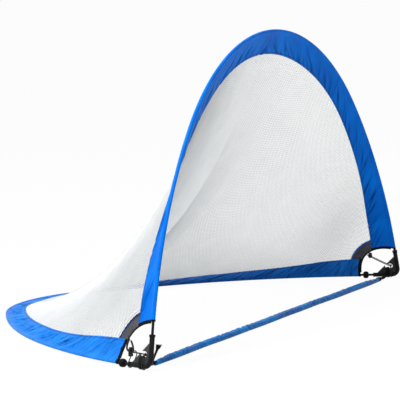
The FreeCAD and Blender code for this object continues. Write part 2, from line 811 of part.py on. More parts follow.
def make_strap_tail(bar_end):
    """Loose end of the left strap: it stands up from the strap beside the bar and flares."""
    foot = Vector(-bar_end - 14, 0, (size("bar_thickness") + size("strap_thickness")) / 2)
    half = size("tail_thickness") / 2
    route = (
        (foot + Vector(0, 0, 0.2), 1),
        (foot + Vector(3, 1, 12), 1),
        (foot + Vector(10, 2, 26), 0.9),
        (foot + Vector(12, 3, 38), 1),
        (foot + Vector(10, 4, 44), 1.8),
        (foot + Vector(12, 5, 50), 2.2),
    )
    rows = []
    for number, (point, spread) in enumerate(route):
        before = route[max(number - 1, 0)][0]
        after = route[min(number + 1, len(route) - 1)][0]
        normal = (after - before).cross(Y_AXIS).normalize()
        reach = size("tail_width") * spread / 2
        rows.append([(point - Y_AXIS * reach, normal), (point + Y_AXIS * reach, normal)])
    feature("strap_tail_left", sheet_solid(rows, 2 * half))


# ---- tie cords and cord locks -----------------------------------------------------------------

# Where each tie leaves the fabric's lower edge, as a share from the front sleeve to the rear one.
TIE_START = {"left": 0.9, "right": 0.5}
# Points between the fabric and the knot, as (inward, back, up) from the corner.
TIE_BENDS = {"left": ((52, 117, 31), (43, 60, 30)), "right": ((44, 48, 50),)}
# Which run of the route each lock is on, and its middle as a share of that run.
LOCK_RUN = {"left": 1, "right": 0}
LOCK_SHARE = {"left": 0.46, "right": 0.2}
# Roughly where each lock's button points.
BUTTON_TOWARD = {"left": Z_AXIS, "right": -X_AXIS}


def place_near(side, inward, back, up):
    return corner(side) + Vector(-side * inward, back, up)


def rounded_edges(points, label):
    """Straight runs joined by tangent arcs as large as the two runs allow."""
    edges = []
    start = points[0]
    for before, point, after in zip(points, points[1:], points[2:]):
        arriving = (point - before).normalize()
        leaving = (after - point).normalize()
        turn = arriving.getAngle(leaving)
        shorter = min(point.distanceToPoint(before), after.distanceToPoint(point))
        reach = 0.45 * shorter
        radius = reach / math.tan(turn / 2)
        bisector = (leaving - arriving).normalize()
        centre = point + bisector * (radius / math.cos(turn / 2))
        arc_start = point - arriving * reach
        arc_end = point + leaving * reach
        edges.append(line_between(start, arc_start))
        edges.append(Part.Arc(arc_start, centre - bisector * radius, arc_end).toShape())
        print("%s radius %.1f mm" % (label, radius))
        start = arc_end
    edges.append(line_between(start, points[-1]))
    return edges


def knot_place(side):
    """Middle of the knot, in the gusset's hole."""
    heading = rear.heading(side)
    up = square_to(front.heading(side), heading)
    along = size("gusset_hole_out") - size("knot_forward")
    return corner(side) + heading * along + up * size("gusset_hole_up")


def tie_frame(side, name):
    """Route of the tie, the heading of the lock's run and the direction across its two cords."""
    border = 0 if side < 0 else 1
    outside = border + side * (binding_run + size("tie_standoff") / fabric_run)
    front_edge, rear_edge = band_edges(border)
    v = front_edge + (rear_edge - front_edge) * TIE_START[name]
    route = [fabric_point(run_to_t(outside, v), v)]
    route += [place_near(side, *point) for point in TIE_BENDS[name]]
    route.append(knot_place(side))
    first = LOCK_RUN[name]
    heading = (route[first + 1] - route[first]).normalize()
    across = heading.cross(square_to(BUTTON_TOWARD[name], heading))
    return route, heading, across


def tie_wrap_edges(side, place, over):
    """Loop of cord round the elbow's rear arm, its top a little over a place beside the arm."""
    heading = rear.heading(side)
    centre = corner(side) + heading * (place - corner(side)).dot(heading)
    bend = elbow_radius + size("wrap_clearance") + size("cord_diameter") / 2
    up = (place - centre).normalize()
    across = heading.cross(up)
    top = place + up * (over - bend)
    return [
        line_between(centre + across * bend, top + across * bend),
        Part.Arc(top + across * bend, top + up * bend, top - across * bend).toShape(),
        line_between(top - across * bend, centre - across * bend),
        Part.Arc(centre - across * bend, centre - up * bend, centre + across * bend).toShape(),
    ]


def make_ties(side, name):
    route, heading, across = tie_frame(side, name)
    knot = Part.makeSphere(size("knot_diameter") / 2, route[-1])
    radius = size("cord_diameter") / 2
    for letter, sign in (("a", -1), ("b", 1)):
        shift = across * (sign * size("cord_spacing") / 2)
        label = "tie_cord_%s_%s" % (name, letter)
        edges = rounded_edges([point + shift for point in route], label)
        cord = pipe(edges, radius)
        length = sum(edge.Length for edge in edges)
        if abs(cord.Volume - math.pi * radius ** 2 * length) > 0.01 * cord.Volume:
            raise ValueError("%s has the wrong volume" % label)
        feature(label, cord.cut(knot))
    wrap = pipe(tie_wrap_edges(side, route[-1], 0), radius)
    feature("tie_knot_" + name, knot.cut(wrap))
    feature("tie_wrap_" + name, wrap)


def make_left_tie_end():
    """The left tie's loose ends, above its cords beside the lock, and its second loop round the arm."""
    name, side = SIDES[0]
    route, heading, across = tie_frame(side, name)
    outward = across.cross(heading)
    radius = size("cord_diameter") / 2
    run = route[1].distanceToPoint(route[2])
    past_lock = size("lock_diameter") / 2 + 2 * size("cord_diameter")
    middle = route[1] + heading * (run * LOCK_SHARE[name] + past_lock - size("cord_diameter"))
    foot = middle + outward * (radius + size("lock_clearance"))
    ends = []
    for sign in (-1, 1):
        shift = across * (sign * size("cord_spacing") / 2)
        points = (foot, foot + outward * 16, foot + outward * 32 - heading * 8)
        ends.append(pipe(rounded_edges([point + shift for point in points], "tie_end_left"), radius))
    feature("tie_end_left", Part.makeCompound(ends))
    beside = middle + heading * (2 * size("cord_diameter"))
    feature("tie_loop_left", pipe(tie_wrap_edges(side, beside, 1.5 * size("cord_diameter")), radius))


def lock_placement(side, name):
    """Local X runs along the cords, local Z out of the button's end; the origin is on the closed end."""
    route, heading, across = tie_frame(side, name)
    start = route[LOCK_RUN[name]]
    run = start.distanceToPoint(route[LOCK_RUN[name] + 1])
    middle = start + heading * (run * LOCK_SHARE[name])
    outward = across.cross(heading)
    return frame_placement(middle - outward * size("lock_cord_height"), heading, outward.cross(heading))


def make_lock(side, name):
    place = lock_placement(side, name)
    barrel = primitive(
        "Part::Cylinder", "lock_barrel_" + name, place,
        Radius="sizes.lock_diameter / 2", Height="sizes.lock_length",
    )

    def lifted(height, sideways=0, back=0):
        return place.multiply(FreeCAD.Placement(Vector(-back, -sideways, height), FreeCAD.Rotation()))

    well = primitive(
        "Part::Cylinder", "lock_well_" + name, lifted(size("lock_floor")),
        Radius="sizes.button_diameter / 2 + sizes.lock_clearance", Height="sizes.lock_length",
    )
    half_slot = (size("cord_spacing") + size("cord_diameter")) / 2 + size("lock_clearance")
    slot_low = size("lock_cord_height") - size("cord_diameter") / 2 - size("lock_clearance")
    slot = primitive(
        "Part::Box", "lock_slot_" + name,
        lifted(slot_low, half_slot, size("lock_diameter")),
        Length="sizes.lock_diameter * 2",
        Width="sizes.cord_spacing + sizes.cord_diameter + 2 * sizes.lock_clearance",
        Height="sizes.cord_diameter + 2 * sizes.lock_clearance",
    )
    hollow = cut("lock_hollow_" + name, barrel, well)
    publish(cut("lock_" + name, hollow, slot), "lock_body_" + name)

    button_low = slot_low - size("button_foot")
    stem = primitive(
        "Part::Cylinder", "button_stem_" + name, lifted(button_low),
        Radius="sizes.button_diameter / 2",
    )
    stem.Height = size("lock_length") + size("button_proud") - button_low
    window = primitive(
        "Part::Box", "button_window_" + name,
        lifted(slot_low, half_slot, size("lock_diameter")),
        Length="sizes.lock_diameter * 2",
        Width="sizes.cord_spacing + sizes.cord_diameter + 2 * sizes.lock_clearance",
        Height="sizes.cord_diameter + 2 * sizes.lock_clearance + sizes.button_travel",
    )
    publish(cut("button_" + name, stem, window), "lock_button_" + name)
    make_spring(name, place, button_low)


def make_spring(name, place, button_low):
    """Wire spring between the barrel's floor and the button's foot, its wire with eight sides."""
    end_gap = 0.05
    steps, sides = 16, 8
    wire = size("spring_wire") / 2
    radius = size("spring_diameter") / 2 - wire
    start = size("lock_floor") + wire + end_gap
    height = button_low - size("lock_floor") - 2 * (wire + end_gap)
    count = round(size("spring_turns") * steps)
    pitch_slope = height / (2 * math.pi * radius * size("spring_turns"))
    points = []
    for number in range(count + 1):
        turn = 2 * math.pi * number / steps
        outward = Vector(math.cos(turn), math.sin(turn), 0)
        heading = Vector(-math.sin(turn), math.cos(turn), pitch_slope).normalize()
        centre = outward * radius + Z_AXIS * (height * number / count)
        upward = heading.cross(outward)
        for side in range(sides):
            angle = 2 * math.pi * side / sides
            points.append(centre + (outward * math.cos(angle) + upward * math.sin(angle)) * wire)
    facets = []
    for ring in range(count):
        for side in range(sides):
            a = ring * sides + side
            b = ring * sides + (side + 1) % sides
            facets += [(a, b, b + sides), (a, b + sides, a + sides)]
    last = count * sides
    for side in range(1, sides - 1):
        facets += [(0, side + 1, side), (last, last + side, last + side + 1)]
    coil = solid_from_facets(points, facets)
    coil.Placement = place.multiply(FreeCAD.Placement(Vector(0, 0, start), FreeCAD.Rotation()))
    feature("lock_spring_" + name, coil)


# ---- build ------------------------------------------------------------------------------------

for side_name, side_sign in SIDES:
    tube = make_elbow(side_sign, side_name)
    make_gusset(side_sign, side_name, tube)
    make_collar(side_sign, side_name)
    make_rods(side_sign, side_name)
    make_stopper(side_sign, side_name)
    make_corner_fabric(side_sign, side_name)
    make_ties(side_sign, side_name)
    make_lock(side_sign, side_name)
make_ferrule(front, "front_ferrule")
make_ferrule(rear, "rear_ferrule")
make_sleeves()
make_net()
half_bar = make_ground_bar()
for side_name, side_sign in SIDES:
    make_end_strap(side_sign, side_name, half_bar)
make_strap_tail(half_bar)
make_left_tie_end()
doc.recompute()

for item in doc.Objects:
    if "Invalid" in item.State or "Error" in item.State:
        raise ValueError("%s failed to build" % item.Label)
os.makedirs("parts", exist_ok=True)
for item in nodes:
    if item.Shape.isNull() or not item.Shape.isValid() or not item.Shape.Solids:
        raise ValueError("%s has no valid shape" % item.Label)
    item.Shape.exportStep(os.path.join("parts", item.Label + ".step"))
    print("%-24s %d solid, %.1f cm3" % (item.Label, len(item.Shape.Solids), item.Shape.Volume / 1000))
print("%d sub-parts" % len(nodes))
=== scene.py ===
"""Pop-up soccer goal: satin sleeves over two bent rods, white net, corner ties and a padded ground bar.

Metres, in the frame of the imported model: +X along the mouth, +Y into the goal, +Z up.
"""
import math

import bpy
import numpy as np
from mathutils import Matrix, Vector


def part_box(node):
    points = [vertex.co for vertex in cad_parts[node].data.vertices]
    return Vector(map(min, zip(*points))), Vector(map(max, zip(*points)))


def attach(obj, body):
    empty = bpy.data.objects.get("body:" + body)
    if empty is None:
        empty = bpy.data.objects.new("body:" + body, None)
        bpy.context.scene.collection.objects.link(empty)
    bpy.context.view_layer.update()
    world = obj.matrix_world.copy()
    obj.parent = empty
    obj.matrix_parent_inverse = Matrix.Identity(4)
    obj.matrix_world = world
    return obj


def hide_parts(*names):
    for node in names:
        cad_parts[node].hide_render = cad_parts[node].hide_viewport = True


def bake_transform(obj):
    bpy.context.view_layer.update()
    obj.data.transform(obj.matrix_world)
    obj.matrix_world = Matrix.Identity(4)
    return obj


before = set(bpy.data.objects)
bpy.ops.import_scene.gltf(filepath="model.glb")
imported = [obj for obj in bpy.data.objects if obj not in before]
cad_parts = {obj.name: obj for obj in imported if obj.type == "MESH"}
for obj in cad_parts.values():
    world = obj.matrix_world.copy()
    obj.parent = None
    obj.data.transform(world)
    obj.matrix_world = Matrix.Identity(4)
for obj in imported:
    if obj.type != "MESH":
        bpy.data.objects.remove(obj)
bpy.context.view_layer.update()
scene = bpy.context.scene
SIDES = (("left", -1), ("right", 1))
chance = np.random.default_rng(20)


# ---- sizes of the goal, as the model has them --------------------------------------------------

GOAL_WIDTH = 1.829
FRONT_RISE = 0.914
REAR_REACH = 1.006
ROD_FOOT = 0.095
ROD_RADIUS = 0.004
ROD_HEIGHT = 0.0134
ELBOW_RADIUS = 0.0075
ELBOW_FRONT_ARM = 0.093
POCKET_RADIUS = 0.0058
FRONT_START = 0.122
REAR_START = 0.138
FRONT_BAND = 0.079
REAR_BAND = 0.071
LEG_PANEL = 0.745
PATCH_WIDTH = 0.038
BINDING_WIDTH = 0.006
BINDING_START = 0.012
CLOTH_HALF = 0.0008
CORNER_GAP = 0.0003
BAR_SETBACK = 0.036
CORD_RADIUS = 0.0015
CORD_SPACING = 0.0038
STRAP_WIDTH = 0.0115


def unit(vectors):
    return vectors / np.linalg.norm(vectors, axis=-1, keepdims=True)


def distances_along(path):
    """Distance from the start at each point of a path."""
    return np.concatenate([[0], np.cumsum(np.linalg.norm(np.diff(path, axis=0), axis=1))])


def resample(rows, known, wanted):
    """Vectors of a table with known places, read at wanted places."""
    return np.stack([np.interp(wanted, known, rows[:, k]) for k in range(3)], axis=1)


class Arch:
    """Plane arch of a rod: straight feet, side arcs and a crown arc, mirrored at x = 0."""

    def __init__(self, rise, base_angle, turn_angle, up):
        base = math.radians(base_angle)
        turn = math.radians(turn_angle)
        rise_left = rise - ROD_FOOT * math.cos(base)
        reach_left = GOAL_WIDTH / 2 - ROD_FOOT * math.sin(base)
        side_rise = math.sin(turn) - math.sin(base)
        side_reach = math.cos(base) - math.cos(turn)
        crown_rise = 1 - math.sin(turn)
        crown_reach = math.cos(turn)
        scale = side_rise * crown_reach - crown_rise * side_reach
        self.side_radius = (rise_left * crown_reach - crown_rise * reach_left) / scale
        self.crown_radius = (side_rise * reach_left - side_reach * rise_left) / scale
        self.base = base
        self.turn = turn
        self.up = np.array(up)
        self.origin = np.array((0, -BAR_SETBACK, ROD_HEIGHT))
        self.side_end = ROD_FOOT + self.side_radius * (turn - base)
        self.half_length = self.side_end + self.crown_radius * (math.pi / 2 - turn)
        self.length = 2 * self.half_length

    def at(self, distance):
        """Points at distances along the arch, from the left corner."""
        distance = np.asarray(distance, float)
        near = np.minimum(distance, self.length - distance)
        foot = np.minimum(near, ROD_FOOT)
        x = -GOAL_WIDTH / 2 + foot * math.sin(self.base)
        rise = foot * math.cos(self.base)
        angle = self.base + (np.clip(near, ROD_FOOT, self.side_end) - ROD_FOOT) / self.side_radius
        x = x + self.side_radius * (math.cos(self.base) - np.cos(angle))
        rise = rise + self.side_radius * (np.sin(angle) - math.sin(self.base))
        angle = self.turn + (np.maximum(near, self.side_end) - self.side_end) / self.crown_radius
        x = x + self.crown_radius * (math.cos(self.turn) - np.cos(angle))
        rise = rise + self.crown_radius * (np.sin(angle) - math.sin(self.turn))
        x = np.where(distance > self.half_length, -x, x)
        flat = np.stack([x, np.zeros_like(x), np.zeros_like(x)], axis=-1)
        return self.origin + flat + rise[..., None] * self.up

    def heading(self, side):
        """Direction of one straight foot, away from its corner."""
        return np.array((-side * math.sin(self.base), 0, 0)) + self.up * math.cos(self.base)


LEAN = math.radians(2.3)
SLOPE = math.asin((ROD_HEIGHT - POCKET_RADIUS) / REAR_REACH)
front = Arch(FRONT_RISE, 14.9, 42, (0, math.sin(LEAN), math.cos(LEAN)))
rear = Arch(REAR_REACH, 18.5, 57.9, (0, math.cos(SLOPE), -math.sin(SLOPE)))


def corner(side):
    return front.origin + np.array((side * GOAL_WIDTH / 2, 0, 0))


# ---- the fabric's surface, from the front rod to the rear rod ----------------------------------

HOLLOW_FADE = 0.2015
HOLLOW_LOW = 0.0815
HOLLOW_HIGH = 0.1474
HOLLOW_SKEW = 0.288
CORNER_BULGE = (0.229, 0.2075, 0.19)
SHOULDER_PULL = (0.004, -0.013, -0.005)


def mirrored(t, vector):
    """A vector at each t, with its x turned over on the right half."""
    x, y, z = vector
    return np.stack([np.where(t < 0.5, x, -x), np.full_like(t, y), np.full_like(t, z)], axis=-1)


def chord_middle(t):
    return (front.at(t * front.length) + rear.at(t * rear.length)) / 2


def fabric_point(t, v):
    """t runs along the arches from the left corner, v from the front rod to the rear rod."""
    t, v = np.broadcast_arrays(np.asarray(t, float), np.asarray(v, float))
    first = front.at(t * front.length)
    last = rear.at(t * rear.length)
    chord = last - first
    sweep = chord_middle(t + 0.002) - chord_middle(t - 0.002)
    outward = unit(np.cross(sweep, chord))
    share = 1 - np.abs(2 * t - 1)
    fade = np.exp(-(share / HOLLOW_FADE) ** 2)
    sag = HOLLOW_LOW + (HOLLOW_HIGH - HOLLOW_LOW) * np.clip((share - 0.3) / 0.7, 0, 1)
    hump = 4 * v * (1 - v)
    skewed = hump * (1 - HOLLOW_SKEW * (1 - 2 * v))
    bulge = mirrored(t, CORNER_BULGE)
    shift = bulge * (fade * hump)[..., None] - outward * (sag * (1 - fade) * skewed)[..., None]
    pull = np.exp(-((share - 0.62) / 0.27) ** 2) * v / 0.09 * np.exp(1 - v / 0.09)
    drawn = mirrored(t, SHOULDER_PULL)
    surface = first + chord * v[..., None] + shift * np.linalg.norm(chord, axis=-1, keepdims=True)
    return surface + drawn * pull[..., None]


def fabric_normal(t, v):
    along = fabric_point(t + 0.004, v) - fabric_point(t - 0.004, v)
    across = fabric_point(t, v + 0.004) - fabric_point(t, v - 0.004)
    return unit(np.cross(along, across))


def share_at_distance(t, distance, from_rear):
    """The v that lies a distance from one rod, for each t."""
    t = np.atleast_1d(t)
    steps = np.linspace(0, 1, 241)
    shares = 1 - steps if from_rear else steps
    points = fabric_point(t[:, None], shares[None, :])
    strides = np.linalg.norm(np.diff(points, axis=1), axis=-1)
    travelled = np.concatenate([np.zeros((len(t), 1)), np.cumsum(strides, axis=1)], axis=1)
    return np.array([np.interp(distance, row, shares) for row in travelled])


LOWER_FRONT = FRONT_START / front.length
LOWER_REAR = REAR_START / rear.length
FABRIC_RUN = front.length - 2 * FRONT_START


def run_to_t(run, v):
    """t of a line along the cloth; the front sleeve sits a little high on the left and low on the right."""
    lower = LOWER_FRONT + (LOWER_REAR - LOWER_FRONT) * v
    near_front = np.clip(1 - v, 0, 1) ** 3
    raised = 0.009 * np.exp(-np.abs(run) * FABRIC_RUN / 0.22)
    lowered = 0.021 * np.exp(-np.abs(1 - run) * FABRIC_RUN / 0.22)
    return lower + run * (1 - 2 * lower) + near_front * (raised + lowered) / front.length


RUN_TABLE = np.linspace(-0.01, 1.01, 409)
FRONT_EDGES = share_at_distance(run_to_t(RUN_TABLE, 0.2), FRONT_BAND, False)
REAR_EDGES = share_at_distance(run_to_t(RUN_TABLE, 0.8), REAR_BAND, True)
PATCH_RUN = PATCH_WIDTH / FABRIC_RUN
SEAM_RUN = LEG_PANEL / FABRIC_RUN
BINDING_RUN = BINDING_WIDTH / FABRIC_RUN


def front_edge(run):
    """v of the front sleeve's inner edge."""
    return np.interp(run, RUN_TABLE, FRONT_EDGES)


def rear_edge(run):
    return np.interp(run, RUN_TABLE, REAR_EDGES)


# ---- mesh helpers ------------------------------------------------------------------------------

def grid_uv(along, across):
    """A grid's UV, in metres."""
    return np.stack(np.broadcast_arrays(along, across), axis=-1)


def make_piece(name, points, faces, material=None, uv=None, shade=None, smooth=True, edges=()):
    mesh = bpy.data.meshes.new(name)
    mesh.from_pydata([tuple(p) for p in points], list(edges), faces)
    if uv is not None:
        layer = mesh.uv_layers.new(name="Cloth")
        loops = np.empty(len(mesh.loops), dtype=np.int32)
        mesh.loops.foreach_get("vertex_index", loops)
        layer.data.foreach_set("uv", np.asarray(uv, float)[loops].ravel())
    # The shade values are painted shade, kept on the mesh for the satin material to darken with.
    if shade is not None:
        attribute = mesh.attributes.new("painted_fold_shade", "FLOAT", "POINT")
        attribute.data.foreach_set("value", np.asarray(shade, float))
    mesh.validate()
    if smooth and len(mesh.polygons):
        mesh.polygons.foreach_set("use_smooth", [True] * len(mesh.polygons))
    if material:
        mesh.materials.append(material)
    piece = bpy.data.objects.new(name, mesh)
    scene.collection.objects.link(piece)
    return piece


def loft_faces(rows, count, caps=False):
    """Faces of a loft of equal closed sections."""
    faces = []
    for row in range(rows - 1):
        base = row * count
        for i in range(count):
            j = (i + 1) % count
            faces.append((base + i, base + j, base + count + j, base + count + i))
    if caps:
        faces.append(tuple(range(count))[::-1])
        faces.append(tuple(range((rows - 1) * count, rows * count)))
    return faces


def path_frames(path):
    """Tangent, side and up directions along a path, turning as little as they can."""
    path = np.asarray(path, float)
    tangents = unit(np.gradient(path, axis=0))
    guess = np.array((0, 0, 1.0)) if abs(tangents[0][2]) < 0.9 else np.array((1.0, 0, 0))
    side = unit(np.cross(tangents[0], guess))
    sides = []
    for tangent in tangents:
        side = unit(side - tangent * side.dot(tangent))
        sides.append(side)
    sides = np.array(sides)
    return tangents, sides, np.cross(sides, tangents)


def tube(name, path, radius, material, sides=12, closed=False):
    """Round tube along points, with its UV in metres along and round it."""
    path = np.asarray(path, float)
    if closed:
        path = np.vstack([path, path[:1]])
    tangents, across, up = path_frames(path)
    if closed:
        tangents[0] = tangents[-1] = unit(path[1] - path[-2])
        twist = math.atan2(across[-1].dot(up[0]), across[-1].dot(across[0]))
        turns = np.linspace(0, -twist, len(path))
    else:
        turns = np.zeros(len(path))
    radii = np.broadcast_to(radius, len(path))
    angles = np.linspace(0, 2 * math.pi, sides, endpoint=False)
    a = angles[None, :] + turns[:, None]
    rings = path[:, None] + radii[:, None, None] * (
        np.cos(a)[..., None] * across[:, None] + np.sin(a)[..., None] * up[:, None])
    uv = grid_uv(distances_along(path)[:, None], angles[None, :] * radii[:, None])
    if closed:
        rings, uv = rings[:-1], uv[:-1]
        count = len(path) - 1
        faces = loft_faces(count, sides)
        base = (count - 1) * sides
        for i in range(sides):
            j = (i + 1) % sides
            faces.append((base + i, base + j, j, i))
    else:
        faces = loft_faces(len(path), sides, caps=True)
    return make_piece(name, rings.reshape(-1, 3), faces, material, uv.reshape(-1, 2))


def face_outward(piece):
    """Turns a closed piece's faces outward if they point in."""
    mesh = piece.data
    mesh.calc_loop_triangles()
    points = np.empty(len(mesh.vertices) * 3)
    mesh.vertices.foreach_get("co", points)
    points = points.reshape(-1, 3)
    triangles = np.empty(len(mesh.loop_triangles) * 3, dtype=np.int32)
    mesh.loop_triangles.foreach_get("vertices", triangles)
    a, b, c = points[triangles.reshape(-1, 3)].transpose(1, 0, 2)
    volume = np.einsum("ij,ij->i", a, np.cross(b, c)).sum()
    if volume < 0:
        mesh.flip_normals()
    return piece


def join_pieces(name, pieces):
    """One piece of several plain meshes."""
    with bpy.context.temp_override(active_object=pieces[0], selected_editable_objects=pieces):
        bpy.ops.object.join()
    pieces[0].name = name
    return pieces[0]


def smooth_path(points, count, closed=False):
    """Catmull-Rom path through points, with even steps."""
    points = np.asarray(points, float)
    if closed:
        points = np.vstack([points[-1:], points, points[:2]])
    else:
        points = np.vstack([2 * points[0] - points[1], points, 2 * points[-1] - points[-2]])
    fine = []
    for i in range(1, len(points) - 2):
        p0, p1, p2, p3 = points[i - 1:i + 3]
        u = np.linspace(0, 1, 24, endpoint=False)[:, None]
        fine.append(0.5 * (2 * p1 + (p2 - p0) * u + (2 * p0 - 5 * p1 + 4 * p2 - p3) * u ** 2
                           + (3 * p1 - p0 - 3 * p2 + p3) * u ** 3))
    fine = np.vstack(fine + [points[-2:-1]])
    lengths = distances_along(fine)
    even = np.linspace(0, lengths[-1], count + 1 if closed else count)
    if closed:
        even = even[:-1]
    return resample(fine, lengths, even)


def assign(piece, node_name=None, body=None):
    """The body a piece rides on and the model piece it replaces, where it has them."""
    if body:
        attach(piece, body)
    if node_name:
        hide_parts(node_name)


# ---- node helpers ------------------------------------------------------------------------------

def plug(tree, socket, value):
    """Links an input to another node's output, or sets its value."""
    if isinstance(value, bpy.types.NodeSocket):
        tree.links.new(value, socket)
    else:
        socket.default_value = value


def node(tree, kind, plugs=None, **settings):
    """A node with its settings, and values or outputs for some of its inputs."""
    item = tree.nodes.new(kind)
    for key, value in settings.items():
        setattr(item, key, value)
    for label, value in (plugs or {}).items():
        plug(tree, item.inputs[label], value)
    return item


def material_of(name, colour, roughness, metallic=0.0, specular=0.12, sheen=0.0, fuzz=0.5):
    """A material with its shader; sockets that are the same all over are set on the shader."""
    material = bpy.data.materials.new(name)
    material.use_nodes = True
    tree = material.node_tree
    shader = tree.nodes["Principled BSDF"]
    sockets = {"Base Color": (*colour, 1), "Roughness": roughness, "Metallic": metallic,
               "Specular IOR Level": specular}
    if sheen:
        sockets.update({"Sheen Weight": sheen, "Sheen Roughness": fuzz})
    for label, value in sockets.items():
        shader.inputs[label].default_value = value
    material.diffuse_color = (*colour, 1)
    return material, tree, shader


def mapped(tree, output, scale=(1, 1, 1), turn=0.0):
    place = node(tree, "ShaderNodeTexCoord").outputs[output]
    mapping = node(tree, "ShaderNodeMapping", {"Scale": scale, "Rotation": (0, 0, turn), "Vector": place})
    return mapping.outputs["Vector"]


def noise(tree, vector, scale, detail=3.0, roughness=0.5):
    plugs = {"Scale": scale, "Detail": detail, "Roughness": roughness, "Vector": vector}
    return node(tree, "ShaderNodeTexNoise", plugs).outputs["Fac"]


def bands(tree, vector, period, direction="X"):
    """Even bands with a period in metres."""
    plugs = {"Scale": 2 * math.pi / (20 * period), "Vector": vector}
    return node(tree, "ShaderNodeTexWave", plugs, wave_type="BANDS", bands_direction=direction).outputs["Fac"]


def colour_ramp(tree, factor, stops):
    item = node(tree, "ShaderNodeValToRGB", {"Fac": factor})
    ramp = item.color_ramp
    while len(ramp.elements) < len(stops):
        ramp.elements.new(0.5)
    for element, (place, colour) in zip(ramp.elements, stops):
        element.position = place
        element.color = (*colour, 1)
    return item.outputs["Color"]


def math_node(tree, operation, first, second):
    return node(tree, "ShaderNodeMath", {0: first, 1: second}, operation=operation).outputs[0]


def mix_colour(tree, factor, first, second):
    """Mixes a colour from a node with another, from a node or plain."""
    plugs = {0: factor, 6: first, 7: (*second, 1) if isinstance(second, tuple) else second}
    return node(tree, "ShaderNodeMix", plugs, data_type="RGBA", blend_type="MIX").outputs[2]


def bump(tree, shader, height, strength, distance):
    item = node(tree, "ShaderNodeBump", {"Strength": strength, "Distance": distance, "Height": height})
    plug(tree, shader.inputs["Normal"], item.outputs["Normal"])


def vary_roughness(tree, shader, factor, low, high):
    spread = node(tree, "ShaderNodeMapRange", {"To Min": low, "To Max": high, "Value": factor})
    plug(tree, shader.inputs["Roughness"], spread.outputs["Result"])


def colour_from(tree, shader, factor, stops):
    plug(tree, shader.inputs["Base Color"], colour_ramp(tree, factor, stops))


def times(colour, share):
    return tuple(channel * share for channel in colour)


# ---- materials ---------------------------------------------------------------------------------

def satin(name, light, deep, roughness=0.34, gloss=0.03):
    """Satin-woven polyester: glossy floats, fine weave, and painted shade down in the folds, along hems and
    at panel ends.
    """
    material, tree, shader = material_of(name, light, roughness, specular=gloss, sheen=0.10, fuzz=0.4)
    shader.inputs["Sheen Tint"].default_value = (0.02, 0.4, 1, 1)
    cloth = mapped(tree, "UV")
    cloudy = noise(tree, cloth, 9, 4)
    tone = colour_ramp(tree, cloudy, ((0.3, deep), (0.72, light)))
    # Painted shade: a mesh attribute from 0 to 1 darkens the satin towards a third of its deep colour in
    # crease valleys, along hems and at panel ends.
    painted_fold_shade = node(tree, "ShaderNodeAttribute", attribute_name="painted_fold_shade")
    dark = times(deep, 0.35)
    shaded = mix_colour(tree, painted_fold_shade.outputs["Fac"], tone, dark)
    threads = bands(tree, mapped(tree, "UV", turn=0.35), 0.0009)
    flecks = noise(tree, mapped(tree, "UV", (900, 2600, 1)), 1, 2)
    grain = math_node(tree, "MULTIPLY", threads, 0.5)
    grain = math_node(tree, "ADD", grain, flecks)
    fine = mix_colour(tree, 0.16, shaded, colour_ramp(tree, grain, ((0.35, dark), (1.0, light))))
    plug(tree, shader.inputs["Base Color"], fine)
    vary_roughness(tree, shader, cloudy, roughness - 0.06, roughness + 0.12)
    creases = noise(tree, mapped(tree, "UV", (60, 130, 1), 0.5), 1, 4, 0.6)
    height = math_node(tree, "ADD", math_node(tree, "MULTIPLY", grain, 0.08), creases)
    bump(tree, shader, height, 0.35, 0.0008)
    return material


def plain_weave(name, light, dark, period, roughness, depth=0.0003):
    """Plain-woven cloth or tape: over-and-under threads with a little fuzz."""
    material, tree, shader = material_of(name, light, roughness, specular=0.04, sheen=0.01)
    warp = bands(tree, mapped(tree, "UV"), period, "X")
    weft = bands(tree, mapped(tree, "UV"), period, "Y")
    weave = math_node(tree, "MULTIPLY", warp, weft)
    cloudy = noise(tree, mapped(tree, "Object"), 38, 4, 0.6)
    mixed = math_node(tree, "ADD", math_node(tree, "MULTIPLY", weave, 0.5),
                      math_node(tree, "MULTIPLY", cloudy, 0.6))
    colour_from(tree, shader, mixed, ((0.2, dark), (0.75, light)))
    bump(tree, shader, weave, 0.6, depth)
    return material


def enamel(name, colour, worn, roughness=0.3):
    """Black enamel on steel: slight orange peel, dust, and pale scuffs."""
    material, tree, shader = material_of(name, colour, roughness, specular=0.07)
    place = mapped(tree, "Object")
    cloudy = noise(tree, place, 55, 5, 0.65)
    scuffs = colour_ramp(tree, noise(tree, mapped(tree, "Object", (300, 300, 90)), 1, 3, 0.7),
                         ((0.66, (0, 0, 0)), (0.78, (1, 1, 1))))
    tone = colour_ramp(tree, cloudy, ((0.3, colour), (0.8, times(colour, 2.2))))
    mixed = mix_colour(tree, math_node(tree, "MULTIPLY", scuffs, 0.16), tone, worn)
    plug(tree, shader.inputs["Base Color"], mixed)
    vary_roughness(tree, shader, cloudy, roughness - 0.08, roughness + 0.2)
    bump(tree, shader, noise(tree, place, 900, 2), 0.25, 0.0002)
    return material


def moulded(name, colour, roughness, grain_scale, strength):
    """Moulded rubber or nylon: even grain with scattered dust."""
    material, tree, shader = material_of(name, colour, roughness, specular=0.06)
    place = mapped(tree, "Object")
    dust = noise(tree, place, 120, 5, 0.7)
    colour_from(tree, shader, dust, ((0.45, colour), (0.85, tuple(c + 0.012 for c in colour))))
    bump(tree, shader, noise(tree, place, grain_scale, 3), strength, 0.0003)
    return material


def fibreglass(name):
    """Pultruded rod: black, with long fine fibres along it."""
    material, tree, shader = material_of(name, (0.010, 0.010, 0.011), 0.36, specular=0.07)
    fibres = noise(tree, mapped(tree, "Object", (700, 700, 700)), 1, 2)
    colour_from(tree, shader, fibres, ((0.3, (0.004, 0.004, 0.005)), (0.9, (0.02, 0.02, 0.022))))
    bump(tree, shader, fibres, 0.3, 0.0001)
    return material


